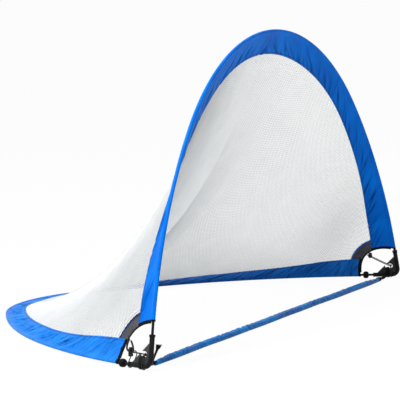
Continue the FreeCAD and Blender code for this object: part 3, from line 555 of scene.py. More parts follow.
def drawn_metal(name, colour):
    """Bright metal with fine streaks from drawing."""
    material, tree, shader = material_of(name, colour, 0.28, 1.0)
    streaks = noise(tree, mapped(tree, "Object", (40, 900, 900)), 1, 3)
    vary_roughness(tree, shader, streaks, 0.2, 0.42)
    colour_from(tree, shader, streaks, ((0.3, times(colour, 0.8)), (0.8, colour)))
    return material


def net_yarn(name, colour):
    """White polyester yarn, matt, very slightly uneven."""
    material, tree, shader = material_of(name, colour, 0.62)
    cloudy = noise(tree, mapped(tree, "Object"), 14, 3)
    colour_from(tree, shader, cloudy, ((0.3, times(colour, 0.93)), (0.7, colour)))
    return material


def braid(name, colour):
    """Round braided cord: slanted plaits that cross."""
    material, tree, shader = material_of(name, colour, 0.62, specular=0.15)
    place = mapped(tree, "Object")
    one = bands(tree, place, 0.0022, "DIAGONAL")
    two = bands(tree, mapped(tree, "Object", (-1, 1, 1)), 0.0022, "DIAGONAL")
    plait = math_node(tree, "MAXIMUM", one, two)
    colour_from(tree, shader, plait, ((0.2, times(colour, 0.3)), (0.9, times(colour, 1.5))))
    bump(tree, shader, plait, 0.7, 0.0005)
    return material


BLUE = (0.001, 0.190, 0.80)
DEEP_BLUE = (0.0005, 0.115, 0.56)
sleeve_satin = satin("Sleeve satin", BLUE, DEEP_BLUE)
# The rear sleeves are the same cloth as the front ones; this lighter, whiter copy of the satin is painted
# light on the rear sleeves that lie near the ground.
REAR_LIT_BLUE = (0.022, 0.255, 0.82)
REAR_LIT_DEEP_BLUE = (0.008, 0.145, 0.60)
rear_lit_satin = satin("Rear sleeve satin", REAR_LIT_BLUE, REAR_LIT_DEEP_BLUE)
BAR_BLUE = (0.001, 0.26, 0.74)
BAR_DEEP_BLUE = (0.001, 0.065, 0.34)
bar_satin = satin("Bar cover satin", BAR_BLUE, BAR_DEEP_BLUE, roughness=0.3, gloss=0.08)
hem_thread = material_of("Hem thread", (0.01, 0.09, 0.42), 0.5)[0]
patch_cloth = plain_weave("Corner patch cloth", (0.125, 0.12, 0.135), (0.045, 0.044, 0.05), 0.0016, 0.7)
black_tape = plain_weave("Edge tape", (0.010, 0.010, 0.013), (0.003, 0.003, 0.004), 0.0012, 0.75)
webbing = plain_weave("Strap webbing", (0.016, 0.020, 0.016), (0.004, 0.006, 0.005), 0.0018, 0.7, 0.0005)
white_net = net_yarn("White net yarn", (0.80, 0.82, 0.83))
tie_braid = braid("Tie cord braid", (0.020, 0.020, 0.023))
black_enamel = enamel("Elbow enamel", (0.006, 0.006, 0.007), (0.22, 0.21, 0.2))
plate_enamel = enamel("Gusset enamel", (0.028, 0.028, 0.030), (0.25, 0.24, 0.23), 0.38)
rod_finish = fibreglass("Fibreglass rod")
tube_metal = drawn_metal("Ferrule tube", (0.55, 0.56, 0.58))
spring_metal = drawn_metal("Spring wire", (0.6, 0.6, 0.62))
stopper_rubber = moulded("Stopper rubber", (0.005, 0.005, 0.006), 0.68, 700, 0.35)
lock_nylon = moulded("Lock nylon", (0.016, 0.016, 0.018), 0.48, 1500, 0.25)
button_nylon = moulded("Lock button nylon", (0.022, 0.022, 0.024), 0.42, 1500, 0.2)


def dress(names, material):
    """Gives model pieces that keep their shape their finish."""
    for name in names:
        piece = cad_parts[name]
        if not piece.material_slots:
            piece.data.materials.append(material)
        for slot in piece.material_slots:
            slot.material = material


for side_name, _ in SIDES:
    dress(["elbow_" + side_name, "front_collar_" + side_name], black_enamel)
    dress(["gusset_" + side_name], plate_enamel)
    dress(["front_rod_tail_" + side_name, "rear_rod_" + side_name], rod_finish)
    dress(["stopper_" + side_name], stopper_rubber)
    dress(["lock_body_" + side_name], lock_nylon)
    dress(["lock_button_" + side_name], button_nylon)
dress(["front_ferrule", "rear_ferrule"], tube_metal)


def make_springs():
    """Each lock's spring: a merged copy of the model's coil, which it replaces."""
    for side, sign in SIDES:
        heading = tie_frame(sign, side)[1]
        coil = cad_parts["lock_spring_" + side]
        places = np.array([tuple(coil.matrix_world @ vertex.co) for vertex in coil.data.vertices])
        points, which = np.unique(np.round(places, 7), axis=0, return_inverse=True)
        which = which.ravel()
        faces = [tuple(int(which[corner]) for corner in facet.vertices) for facet in coil.data.polygons]
        spring = make_piece("lock_spring_%s_wire" % side, points, [f for f in faces if len(set(f)) == len(f)],
                            spring_metal)
        assign(spring, "lock_spring_" + side)
        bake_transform(spring)


# ---- camera and ties ---------------------------------------------------------------------------

CAMERA_PLACE = (-5.8823, -2.8724, 1.1255)
CAMERA_TURN = (61.8255, -6.3822, -1.7450)
CAMERA_LENS = 184.64


def place_camera():
    yaw, pitch, roll = (math.radians(angle) for angle in CAMERA_TURN)
    ahead = Vector((math.sin(yaw) * math.cos(pitch), math.cos(yaw) * math.cos(pitch), math.sin(pitch)))
    right = Vector((math.cos(yaw), -math.sin(yaw), 0))
    up = right.cross(ahead)
    tilted = right * math.cos(roll) + up * math.sin(roll)
    tilted_up = up * math.cos(roll) - right * math.sin(roll)
    lens = bpy.data.cameras.new("Camera")
    lens.lens = CAMERA_LENS
    lens.sensor_width = 36
    lens.clip_end = 1200
    camera = bpy.data.objects.new("Camera", lens)
    turn = Matrix((tilted, tilted_up, -ahead)).transposed().to_4x4()
    camera.matrix_world = Matrix.Translation(CAMERA_PLACE) @ turn
    scene.collection.objects.link(camera)
    scene.camera = camera


def square_to(direction, axis):
    direction = np.asarray(direction, float)
    return unit(direction - axis * direction.dot(axis))


def place_near(side, inward, back, up):
    return corner(side) + np.array((-side * inward, back, up))


def knot_place(side):
    """Middle of the knot, in the gusset's hole."""
    heading = rear.heading(side)
    up = square_to(front.heading(side), heading)
    return corner(side) + heading * 0.027 + up * 0.034


TIE_START = {"left": 0.9, "right": 0.5}
TIE_BENDS = {"left": ((0.052, 0.117, 0.031), (0.043, 0.060, 0.030)), "right": ((0.044, 0.048, 0.050),)}
LOCK_RUN = {"left": 1, "right": 0}
LOCK_SHARE = {"left": 0.46, "right": 0.2}
BUTTON_TOWARD = {"left": (0, 0, 1), "right": (-1, 0, 0)}


def tie_frame(side, name):
    """Route of the tie, the heading of the lock's run and the direction across its two cords."""
    border = 0 if side < 0 else 1
    outside = border + side * (BINDING_RUN + 0.0017 / FABRIC_RUN)
    v = front_edge(border) + (rear_edge(border) - front_edge(border)) * TIE_START[name]
    route = [fabric_point(run_to_t(outside, v), v)]
    route += [place_near(side, *point) for point in TIE_BENDS[name]]
    route.append(knot_place(side))
    first = LOCK_RUN[name]
    heading = unit(route[first + 1] - route[first])
    across = np.cross(heading, square_to(BUTTON_TOWARD[name], heading))
    return route, heading, across


def nurbs_cord(name, points, radius, material):
    curve = bpy.data.curves.new(name, "CURVE")
    curve.dimensions = "3D"
    spline = curve.splines.new("NURBS")
    spline.points.add(len(points) - 1)
    for place, point in zip(spline.points, points):
        place.co = (*point, 1)
    spline.order_u = 3
    spline.use_endpoint_u = True
    spline.resolution_u = 16
    curve.bevel_depth = radius
    curve.bevel_resolution = 4
    curve.use_fill_caps = True
    curve.materials.append(material)
    cord = bpy.data.objects.new(name, curve)
    scene.collection.objects.link(cord)
    return cord


def overhand_knot(name, middle, facing, reach, radius):
    """A pulled-tight knot of the cord itself."""
    turn = np.linspace(0, 2 * math.pi, 60, endpoint=False)
    shape = np.stack([np.sin(turn) + 2 * np.sin(2 * turn), np.cos(turn) - 2 * np.cos(2 * turn),
                      -1.5 * np.sin(3 * turn)], axis=1) / 3
    first = square_to((0.3, 0.2, 1), facing)
    second = np.cross(facing, first)
    path = middle + (reach - radius) * (shape[:, :1] * first + shape[:, 1:2] * second + shape[:, 2:] * facing)
    return face_outward(tube(name, path, radius, tie_braid, 10, closed=True))


def round_two(first, last, radius, across, up, steps):
    """Points of a loop round two centres, and the direction out of the loop at each."""
    points, outward = [], []
    for middle, start in ((first, 0), (last, math.pi)):
        for step in range(steps + 1):
            angle = start + math.pi * step / steps
            direction = math.cos(angle) * across + math.sin(angle) * up
            points.append(middle + radius * direction)
            outward.append(direction)
    return points, outward


def arm_loop(side, place, over):
    """Points of a loop of cord round the elbow's rear arm, its top a little over a place."""
    heading = rear.heading(side)
    centre = corner(side) + heading * (place - corner(side)).dot(heading)
    bend = ELBOW_RADIUS + 0.0004 + CORD_RADIUS
    up = unit(place - centre)
    across = np.cross(heading, up)
    top = place + up * (over - bend)
    points, _ = round_two(top, centre, bend, across, up, 16)
    return smooth_path(points, 90, closed=True)


def make_ties():
    for name, side in SIDES:
        route, heading, across = tie_frame(side, name)
        knot = overhand_knot("tie_knot_%s_tied" % name, route[-1], heading, 0.0055, CORD_RADIUS)
        assign(knot, "tie_knot_" + name, "base")
        for letter, sign in (("a", -1), ("b", 1)):
            shift = across * (sign * CORD_SPACING / 2)
            end = route[-1] + shift + unit(route[-2] - route[-1]) * 0.0045
            points = [point + shift for point in route[:-1]] + [end]
            cord = nurbs_cord("tie_cord_%s_%s_braid" % (name, letter), points, CORD_RADIUS, tie_braid)
            assign(cord, "tie_cord_%s_%s" % (name, letter), "base")
            curve_length(cord)
        loop = face_outward(tube("tie_wrap_%s_braid" % name, arm_loop(side, route[-1], 0), CORD_RADIUS,
                                 tie_braid, 10, closed=True))
        assign(loop, "tie_wrap_" + name, "base")


def curve_length(cord):
    """Length of a curve's line, without its round section."""
    plain = cord.data.copy()
    plain.bevel_depth = 0
    holder = bpy.data.objects.new("measure", plain)
    scene.collection.objects.link(holder)
    mesh = bpy.data.meshes.new_from_object(holder.evaluated_get(bpy.context.evaluated_depsgraph_get()))
    points = np.array([vertex.co for vertex in mesh.vertices])
    bpy.data.objects.remove(holder)
    bpy.data.meshes.remove(mesh)
    return float(np.linalg.norm(np.diff(points, axis=0), axis=1).sum())


TIE_END_DISTANCE = 0.010
TIE_END_RISE = ((0, 0), (0.008, 0.0002), (0.016, 0.0012), (0.024, 0.0042), (0.032, 0.008))


def make_left_tie_end():
    """The left tie's loose ends beside the lock, and its second loop round the arm."""
    name, side = SIDES[0]
    route, heading, across = tie_frame(side, name)
    outward = np.cross(across, heading)
    run = np.linalg.norm(route[2] - route[1])
    middle = route[1] + heading * (run * LOCK_SHARE[name] + TIE_END_DISTANCE)
    foot = middle + outward * (CORD_RADIUS + 0.00025)
    ends = []
    for number, sign in enumerate((-1, 1)):
        shift = across * (sign * CORD_SPACING / 2)
        path = smooth_path([foot + shift + outward * rise - heading * droop
                            for rise, droop in TIE_END_RISE], 30)
        radii = np.full(30, CORD_RADIUS)
        radii[-3:] = (CORD_RADIUS * 1.12, CORD_RADIUS * 1.15, CORD_RADIUS * 0.8)
        ends.append(face_outward(tube("tie_end_%d" % number, path, radii, tie_braid, 12)))
    assign(join_pieces("tie_end_left_braid", ends), "tie_end_left", "base")
    loop = face_outward(tube("tie_loop_left_braid", arm_loop(side, middle + heading * 0.006, 0.0045),
                             CORD_RADIUS, tie_braid, 10, closed=True))
    assign(loop, "tie_loop_left", "base")


place_camera()
make_ties()
make_left_tie_end()


# ---- placements baked into the meshes ----------------------------------------------------------


def bend(piece):
    """Bakes a piece's placement into its mesh."""
    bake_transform(piece)
    return piece


def pick(low, high, count):
    return chance.uniform(low, high, count)


# ---- rods --------------------------------------------------------------------------------------

def make_front_rods():
    for name, side in SIDES:
        distances = np.linspace(ELBOW_FRONT_ARM + 0.00085, front.half_length - 0.0001, 420)
        if side > 0:
            distances = front.length - distances
        rod = face_outward(tube("front_rod_%s_bent" % name, front.at(distances), ROD_RADIUS,
                                rod_finish, 20))
        assign(rod, "front_rod_" + name)
        bend(rod)


# ---- sleeves -----------------------------------------------------------------------------------

class Folds:
    """Creases drawn into a sleeve, each with its place, lean, width, depth and reach across."""

    def __init__(self, spacing, length, depth, lean, width, middle, reach):
        count = int(length / spacing)
        self.place = np.linspace(0, length, count) + pick(-spacing, spacing, count)
        self.middle = pick(middle[0], middle[1], count)
        self.lean = pick(lean[0], lean[1], count) * np.where(self.place < length / 2, -1, 1)
        self.width = pick(width[0], width[1], count)
        self.depth = pick(depth[0], depth[1], count) * chance.choice([-1, 1, 1], count)
        self.reach = pick(reach[0], reach[1], count)

    def at(self, along, across):
        """Height of the creases, and the painted shade that darkens each crease's valley."""
        height = np.zeros_like(along)
        shade = np.zeros_like(along)
        for place, middle, lean, width, depth, reach in zip(
                self.place, self.middle, self.lean, self.width, self.depth, self.reach):
            offset = (along - place - lean * (across - middle)) / width
            near = np.abs(offset) < 4
            window = np.exp(-((across[near] - middle) / reach) ** 2)
            ridge = np.exp(-offset[near] ** 2)
            valley = np.exp(-(offset[near] - 1.5) ** 2 * 1.6)
            height[near] += depth * window * (ridge - 0.7 * valley)
            shade[near] += abs(depth) * 340 * window * valley ** 2.2
        return height, np.clip(shade, 0, 1)


HEM_SEAM = 0.0064
PARTING = 0.0135
PARTED_HALF = 0.0050
POCKET_POINTS = 9


def sleeve_section(arch, runs, from_rear, folds, grow=0.0, ends=None):
    """Rings of a sleeve's section: inner edge, outer layer, round the rod, and back along the inner layer."""
    width = REAR_BAND if from_rear else FRONT_BAND
    edge = rear_edge(runs) if from_rear else front_edge(runs)
    v_rod = 1.0 if from_rear else 0.0
    layer = np.array((0.0032, 0.0045, 0.0065, 0.0088, 0.011, 0.0135, 0.0165))
    layer = np.concatenate([layer, np.linspace(0.020, width - 0.0095, 15),
                            width - np.array((0.0078, 0.0068, 0.0060, 0.0040, 0.0018, 0.0004))])
    outer = layer[::-1]
    across = np.concatenate([[width], outer, np.zeros(POCKET_POINTS), layer])
    v = v_rod + (edge - v_rod)[:, None] * (across / width)[None, :]
    run = np.broadcast_to(runs[:, None], v.shape)
    t = run_to_t(run, v)
    middle = fabric_point(t, v)
    normal = fabric_normal(t, v)
    along = run * FABRIC_RUN
    spread = np.broadcast_to(across[None, :], v.shape)
    height, shade = folds.at(along, spread)
    height = height * np.clip((spread - 0.004) / 0.02, 0, 1) * np.clip((width - spread) / 0.018, 0.2, 1)
    flare = np.clip((PARTING - spread) / (PARTING - 0.0029), 0, 1) ** 1.5
    half = CLOTH_HALF + (PARTED_HALF - CLOTH_HALF) * flare
    hem = np.clip((spread - (width - HEM_SEAM)) / 0.0004, 0, 1)
    half = half + 0.00055 * hem * (spread < width)
    if ends is not None:
        near_end = np.exp(-((along - ends[0] * FABRIC_RUN) / 0.0025) ** 2)
        near_end = near_end + np.exp(-((along - ends[1] * FABRIC_RUN) / 0.0025) ** 2)
        half = half + 0.0006 * near_end
        shade = np.clip(shade + 0.6 * near_end ** 2, 0, 1)
    shade = np.clip(shade + 0.8 * np.exp(-((spread - (width - HEM_SEAM)) / 0.0012) ** 2), 0, 1)
    shade = np.clip(shade + 0.8 * np.clip((spread - (width - 0.0015)) / 0.001, 0, 1), 0, 1)
    count = len(outer) + 1
    sign = np.zeros(len(across))
    sign[1:count] = 1
    sign[-len(layer):] = -1
    puff = 1 + 0.35 * np.sin(along * 37 + spread * 60)
    points = middle + normal * (sign * (half + grow) + height * np.where(sign < 0, 0.8, 1) * puff)[..., None]
    centre = arch.at(run_to_t(runs, v_rod) * arch.length)
    inner = fabric_point(run_to_t(runs, v_rod + (edge - v_rod) * 0.16), v_rod + (edge - v_rod) * 0.16)
    first = unit(inner - centre)
    second = unit(normal[:, count] - first * (normal[:, count] * first).sum(axis=-1, keepdims=True))
    for number, angle in enumerate(np.radians(np.linspace(62, 298, POCKET_POINTS))):
        puckers = 1 + 0.035 * np.sin(along[:, 0] * 420 + 3 * math.sin(3 * angle))
        round_rod = math.cos(angle) * first + math.sin(angle) * second
        points[:, count + number] = centre + (POCKET_RADIUS + grow) * puckers[:, None] * round_rod
    shade[:, count:count + POCKET_POINTS] *= 0.5
    return points, grid_uv(along[:, :1], distances_along(points[0])[None, :]), shade


def loft_piece(name, points, uv, shade, material, caps=False):
    rows, count = points.shape[:2]
    faces = loft_faces(rows, count, caps=caps)
    return face_outward(make_piece(name, points.reshape(-1, 3), faces, material,
                                   uv.reshape(-1, 2), shade.ravel()))


def growing_tree(name, material, sizes):
    """The shared ends of a tree: lines and named sizes in, and a real mesh with its material out."""
    tree = bpy.data.node_groups.new(name, "GeometryNodeTree")
    tree.interface.new_socket("Geometry", in_out="INPUT", socket_type="NodeSocketGeometry")
    for label, kind in sizes:
        tree.interface.new_socket(label, in_out="INPUT", socket_type=kind)
    tree.interface.new_socket("Geometry", in_out="OUTPUT", socket_type="NodeSocketGeometry")
    inputs = node(tree, "NodeGroupInput").outputs
    lines = node(tree, "GeometryNodeMeshToCurve", {"Mesh": inputs["Geometry"]})
    real = node(tree, "GeometryNodeRealizeInstances")
    finish = node(tree, "GeometryNodeSetMaterial",
                  {"Geometry": real.outputs["Geometry"], "Material": material})
    node(tree, "NodeGroupOutput", {"Geometry": finish.outputs["Geometry"]})
    return tree, inputs, lines.outputs["Curve"], real.inputs["Geometry"]


def strand_tree(name, material):
    """Round strands along a mesh of lines."""
    tree, inputs, lines, result = growing_tree(
        name, material, (("Strand radius", "NodeSocketFloat"), ("Strand sides", "NodeSocketInt")))
    section = node(tree, "GeometryNodeCurvePrimitiveCircle",
                   {"Resolution": inputs["Strand sides"], "Radius": inputs["Strand radius"]}, mode="RADIUS")
    strands = node(tree, "GeometryNodeCurveToMesh",
                   {"Curve": lines, "Profile Curve": section.outputs["Curve"], "Fill Caps": True})
    plug(tree, result, strands.outputs["Mesh"])
    return tree


def stitch_tree(name, material):
    """Short raised stitches at an even pitch along lines."""
    labels = ("Stitch pitch", "Stitch length", "Thread radius")
    tree, inputs, lines, result = growing_tree(
        name, material, [(label, "NodeSocketFloat") for label in labels])
    places = node(tree, "GeometryNodeCurveToPoints", {"Curve": lines, "Length": inputs["Stitch pitch"]},
                  mode="LENGTH")
    bead = node(tree, "GeometryNodeMeshIcoSphere", {"Subdivisions": 1, "Radius": 1})
    halved = math_node(tree, "MULTIPLY", inputs["Stitch length"], 0.5)
    thread = inputs["Thread radius"]
    size = node(tree, "ShaderNodeCombineXYZ", {"X": halved, "Y": thread, "Z": thread})
    shape = node(tree, "GeometryNodeTransform", {"Geometry": bead.outputs["Mesh"], "Scale": size.outputs[0]})
    turn = node(tree, "FunctionNodeAlignRotationToVector", {"Vector": places.outputs["Tangent"]}, axis="X")
    copies = node(tree, "GeometryNodeInstanceOnPoints",
                  {"Points": places.outputs["Points"], "Instance": shape.outputs["Geometry"],
                   "Rotation": turn.outputs["Rotation"]})
    plug(tree, result, copies.outputs["Instances"])
    return tree


def grown(name, lines, tree, **sizes):
    """The plain mesh that a tree makes of lines, with its named inputs set."""
    points, edges, start = [], [], 0
    for line in lines:
        points.extend(line)
        edges.extend((start + i, start + i + 1) for i in range(len(line) - 1))
        start += len(line)
    source = make_piece(name + "_lines", points, [], smooth=False, edges=edges)
    modifier = source.modifiers.new("grow", "NODES")
    modifier.node_group = tree
    for item in tree.interface.items_tree:
        key = item.name.replace(" ", "_").lower()
        if item.in_out == "INPUT" and key in sizes:
            modifier[item.identifier] = sizes[key]
    evaluated = source.evaluated_get(bpy.context.evaluated_depsgraph_get())
    mesh = bpy.data.meshes.new_from_object(evaluated)
    mesh.name = name
    bpy.data.objects.remove(source)
    piece = bpy.data.objects.new(name, mesh)
    scene.collection.objects.link(piece)
    return piece


net_strands = strand_tree("Net strands", white_net)
hem_stitches = stitch_tree("Hem stitches", hem_thread)


def panel_runs(first, last, step=0.003):
    half_gap = CORNER_GAP / 2 / FABRIC_RUN
    count = int((last - first) * FABRIC_RUN / step)
    return np.linspace(first + half_gap, last - half_gap, count)


def make_sleeves():
    front_folds = Folds(spacing=0.019, length=FABRIC_RUN, depth=(0.0012, 0.0032), lean=(0.5, 2.0),
                        width=(0.0055, 0.0115), middle=(0.044, 0.084), reach=(0.016, 0.034))
    rear_folds = Folds(spacing=0.0085, length=FABRIC_RUN, depth=(0.0008, 0.0030), lean=(-0.2, 1.3),
                       width=(0.0026, 0.0065), middle=(0.005, 0.07), reach=(0.02, 0.06))
    panels = (("left", 0, SEAM_RUN), ("middle", SEAM_RUN, 1 - SEAM_RUN), ("right", 1 - SEAM_RUN, 1))
    for arch, kind, folds, from_rear, width in (
            (front, "front", front_folds, False, FRONT_BAND), (rear, "rear", rear_folds, True, REAR_BAND)):
        # The rear sleeves take the lighter copy of the satin, which is painted light.
        finish = rear_lit_satin if from_rear else sleeve_satin
        for name, first, last in panels:
            runs = panel_runs(first, last)
            points, uv, shade = sleeve_section(arch, runs, from_rear, folds, ends=(first, last))
            sleeve = loft_piece("%s_sleeve_%s_satin" % (kind, name), points, uv, shade, finish)
            assign(sleeve, "%s_sleeve_%s" % (kind, name))
            lines = [points[2:-2, 5], points[2:-2, -6]]
            stitches = grown("%s_stitches_%s" % (kind, name), lines, hem_stitches,
                             stitch_pitch=0.0042, stitch_length=0.003, thread_radius=0.00042)
            assign(stitches)
            bend(sleeve)
            bend(stitches)
        for name, side in SIDES:
            length = (0.0050 if kind == "front" else 0.0068) / FABRIC_RUN
            start = -0.0006 / FABRIC_RUN
            ends = np.linspace(start, length, 6)
            if side > 0:
                ends = 1 - ends
            points, uv, shade = sleeve_section(arch, ends, from_rear, folds, grow=0.0006)
            tape = loft_piece("%s_end_tape_%s" % (kind, name), points, uv, shade * 0, black_tape)
            assign(tape)
            bend(tape)


# ---- net, corner patches and edge tape ---------------------------------------------------------

NET_PITCH = 0.0092
NET_STEP = 0.0037
NET_TUCK = 0.004
NET_SWING = 0.76
YARN_RADIUS = 0.00142
NET_PANELS = (("left_foot", 0, 0.17), ("left_flank", 0.17, 0.33), ("left_crown", 0.33, 0.5),
              ("right_crown", 0.5, 0.67), ("right_flank", 0.67, 0.83), ("right_foot", 0.83, 1))


def make_net():
    """Zigzag strands from sleeve to sleeve, in six panels, each tucked a little under the hems."""
    span = (1 - 2 * PATCH_RUN) * FABRIC_RUN
    columns = int(span / NET_PITCH)
    runs = PATCH_RUN + (np.arange(columns) + 0.5) / columns * (1 - 2 * PATCH_RUN)
    half = 0.5 * NET_PITCH / FABRIC_RUN
    lines, grids = [], []
    for number, run in enumerate(runs):
        v = np.linspace(front_edge(run), rear_edge(run), 160)
        path = fabric_point(run_to_t(run, v), v)
        travelled = distances_along(path)
        places = np.arange(-NET_TUCK, travelled[-1] + NET_TUCK, NET_STEP)
        slope = (v[1] - v[0]) / (travelled[1] - travelled[0])
        shares = np.interp(places, travelled, v)
        shares = np.where(places < 0, v[0] + places * slope, shares)
        shares = np.where(places > travelled[-1], v[-1] + (places - travelled[-1]) * slope, shares)
        swing = NET_SWING * half * np.where((np.arange(len(places)) + number) % 2, 1, -1)
        t = run_to_t(run + swing, shares)
        lines.append(fabric_point(t, shares))
        grids.append(travelled[-1])
    for name, first, last in NET_PANELS:
        low, high = int(first * columns), int(last * columns)
        piece = grown("net_" + name, lines[low:high], net_strands, strand_radius=YARN_RADIUS, strand_sides=3)
        assign(piece, "net")
        bend(piece)


def strip(name, path, normals, width, thickness, material, ribs=0):
    """Flat tape along a path; ribs run along it."""
    path = np.asarray(path, float)
    tangents = unit(np.gradient(path, axis=0))
    normals = unit(normals - tangents * (normals * tangents).sum(axis=-1, keepdims=True))
    across = np.cross(tangents, normals)
    widths = np.broadcast_to(width, len(path))
    side = np.linspace(-1, 1, 6 * ribs + 1 if ribs else 7)
    ridge = 0.88 + 0.12 * np.cos(side * math.pi * ribs * 2) if ribs else np.ones_like(side)
    rounded = np.sqrt(np.clip(1 - np.abs(side) ** 6, 0.02, 1)) * ridge
    offsets = np.concatenate([side, side[::-1]])
    heights = np.concatenate([rounded, -rounded[::-1]])
    points = (path[:, None] + across[:, None] * (offsets[None, :] * widths[:, None] / 2)[..., None]
              + normals[:, None] * (heights * thickness / 2)[None, :, None])
    uv = grid_uv(distances_along(path)[:, None], offsets[None, :] * 0.5 * widths[:, None])
    faces = loft_faces(len(path), len(offsets), caps=True)
    return face_outward(make_piece(name, points.reshape(-1, 3), faces, material, uv.reshape(-1, 2)))


PATCH_HALF = 0.0007
STITCH_POINTS = 120


def make_corner_cloth():
    """Each corner's rippled patch with its piping, top tape, stitches and edge tape."""
    for name, side in SIDES:
        border = 0.0 if side < 0 else 1.0
        levels = border - side * np.linspace(BINDING_RUN * 0.05, PATCH_RUN, 14)
        shares = np.linspace(0, 1, 70)
        v0 = front_edge(levels)[:, None]
        v1 = rear_edge(levels)[:, None]
        v = v0 + (v1 - v0) * (shares * 0.998 + 0.001)[None, :]
        run = np.broadcast_to(levels[:, None], v.shape)
        t = run_to_t(run, v)
        middle, normal = fabric_point(t, v), fabric_normal(t, v)
        ripple = (0.0009 * np.sin(shares * 46 + levels[:, None] * 900)
                  + 0.0006 * np.sin(shares * 90 + 1.3))
        middle = middle + normal * ripple[..., None]
        top = middle + normal * PATCH_HALF
        bottom = middle - normal * PATCH_HALF
        rows, count = v.shape
        rings = np.concatenate([top, bottom[:, ::-1]], axis=1)
        width = np.linspace(0, PATCH_WIDTH, rows)
        length = float(np.linalg.norm(np.diff(middle[rows // 2], axis=0), axis=1).sum())
        across = np.concatenate([shares, shares[::-1]]) * length
        uv = grid_uv(width[:, None], across[None, :])
        faces = loft_faces(rows, 2 * count)
        for row in (0, rows - 1):
            for i in range(count - 1):
                a = row * 2 * count + i
                b = row * 2 * count + 2 * count - 1 - i
                quad = (a, a + 1, b - 1, b)
                faces.append(quad if row else quad[::-1])
        patch = face_outward(make_piece("corner_patch_%s_cloth" % name, rings.reshape(-1, 3), faces,
                                        patch_cloth, uv.reshape(-1, 2)))
        assign(patch, "corner_patch_" + name)
        top_edge, top_normal = middle[-1], normal[-1]
        piping = face_outward(tube("patch_piping_" + name, top_edge - top_normal * 0.0022, 0.0021,
                                   sleeve_satin, 12))
        assign(piping)
        rib = strip("patch_top_tape_" + name, top_edge + top_normal * 0.0014, top_normal, 0.0042, 0.0010,
                    black_tape)
        assign(rib)
        fine = smooth_path(middle[-3] + normal[-3] * 0.0011, STITCH_POINTS)
        lift = resample(unit(middle[-2] - middle[-4]), np.linspace(0, 1, count),
                        np.linspace(0, 1, STITCH_POINTS))
        fine = fine + lift * (0.0016 * np.where(np.arange(STITCH_POINTS) % 2, 1, -1))[:, None]
        stitches = grown("patch_stitches_" + name, [fine], hem_stitches,
                         stitch_pitch=0.0032, stitch_length=0.0026, thread_radius=0.0006)
        assign(stitches)
        for piece in (patch, piping, rib, stitches):
            bend(piece)
        make_edge_tape(name, border, side)


def make_edge_tape(name, border, side):
    first = share_at_distance(run_to_t(border, 0), BINDING_START, False)[0]
    last = share_at_distance(run_to_t(border, 1), BINDING_START, True)[0]
    v = np.linspace(first, last, 110)
    t = run_to_t(border + side * BINDING_RUN * 0.5, v)
    path, normals = fabric_point(t, v), fabric_normal(t, v)
    tape = strip("edge_binding_%s_tape" % name, path, normals, BINDING_WIDTH, 0.0022, black_tape, ribs=2)
    assign(tape, "edge_binding_" + name)
    bend(tape)


# ---- ground bar and straps ---------------------------------------------------------------------

BAR_STATIONS = 620
BAR_SIDES = 40
BAR_PUCKERS = 150


def make_ground_bar():
    """The padded bar's dented cover, and the black binding round its right end."""
    low, high = (np.array(c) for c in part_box("ground_bar"))
    half_width, height = (high[1] - low[1]) / 2, high[2] - low[2]
    centre_y = (high[1] + low[1]) / 2
    x = np.linspace(low[0], high[0], BAR_STATIONS)
    from_end = np.minimum(x - low[0], high[0] - x)
    round_end = np.sqrt(np.clip(1 - (1 - np.clip(from_end / 0.008, 0, 1)) ** 2, 0.05, 1))
    taper = (0.62 + 0.38 * np.clip(from_end / 0.11, 0, 1) ** 0.8) * round_end
    angles = np.linspace(0, 2 * math.pi, BAR_SIDES, endpoint=False)
    flat = np.sign(np.cos(angles)) * np.abs(np.cos(angles)) ** 0.72
    rise = np.sign(np.sin(angles)) * np.abs(np.sin(angles)) ** 0.72
    puckers = np.zeros((BAR_STATIONS, BAR_SIDES))
    shade = np.zeros((BAR_STATIONS, BAR_SIDES))
    spans = ((low[0], high[0]), (-0.012, 0.012), (0.003, 0.011), (0.0004, 0.0017), (0, math.pi))
    for place, lean, width, depth, where in zip(*[pick(*span, BAR_PUCKERS) for span in spans]):
        offset = (x[:, None] - place - lean * (angles - where)[None, :]) / width
        window = np.exp(-((angles - where) / 0.9) ** 2)[None, :]
        puckers += depth * window * (0.6 * np.exp(-offset ** 2) - np.exp(-(offset - 1.4) ** 2))
        shade += depth * 300 * window * np.exp(-(offset - 1.4) ** 2 * 3)
    slack = 0.0012 * np.sin(x * 9) + 0.0008 * np.sin(x * 23 + 1)
    reach_y = half_width * (0.94 + 0.03 * np.sin(x * 14)) * taper
    reach_z = height / 2 * taper
    y = centre_y + flat[None, :] * (reach_y[:, None] + puckers) + slack[:, None]
    z = reach_z[:, None] + rise[None, :] * (reach_z[:, None] + puckers)
    z = np.clip(z, 0.0, height + 0.002)
    seam = np.exp(-((angles - math.radians(200)) / 0.07) ** 2)[None, :]
    y = y - seam * 0.0012 * taper[:, None]
    shade = np.clip(shade + seam * 0.6, 0, 1)
    points = np.stack(np.broadcast_arrays(x[:, None], y, z), axis=-1)
    uv = grid_uv(x[:, None], (angles * 0.011)[None, :])
    bar = loft_piece("ground_bar_cover", points, uv, shade, bar_satin, caps=True)
    assign(bar, "ground_bar", "base")
    turn = np.linspace(0, 2 * math.pi, 48, endpoint=False)
    wrap = []
    for number in range(4):
        grow = 1 + 0.03 * number
        ring = np.stack([np.full(48, high[0] - 0.007 - 0.0022 * number),
                         centre_y + 0.0086 * grow * np.cos(turn),
                         0.0084 + 0.0062 * grow * np.sin(turn)], axis=1)
        wrap.append(face_outward(tube("wrap", ring, 0.0012, black_tape, 8, closed=True)))
    assign(join_pieces("bar_end_wrap_right", wrap), body="base")


def arm_at_setback(side):
    heading = rear.heading(side)
    return corner(side) + heading * (BAR_SETBACK / heading[1])


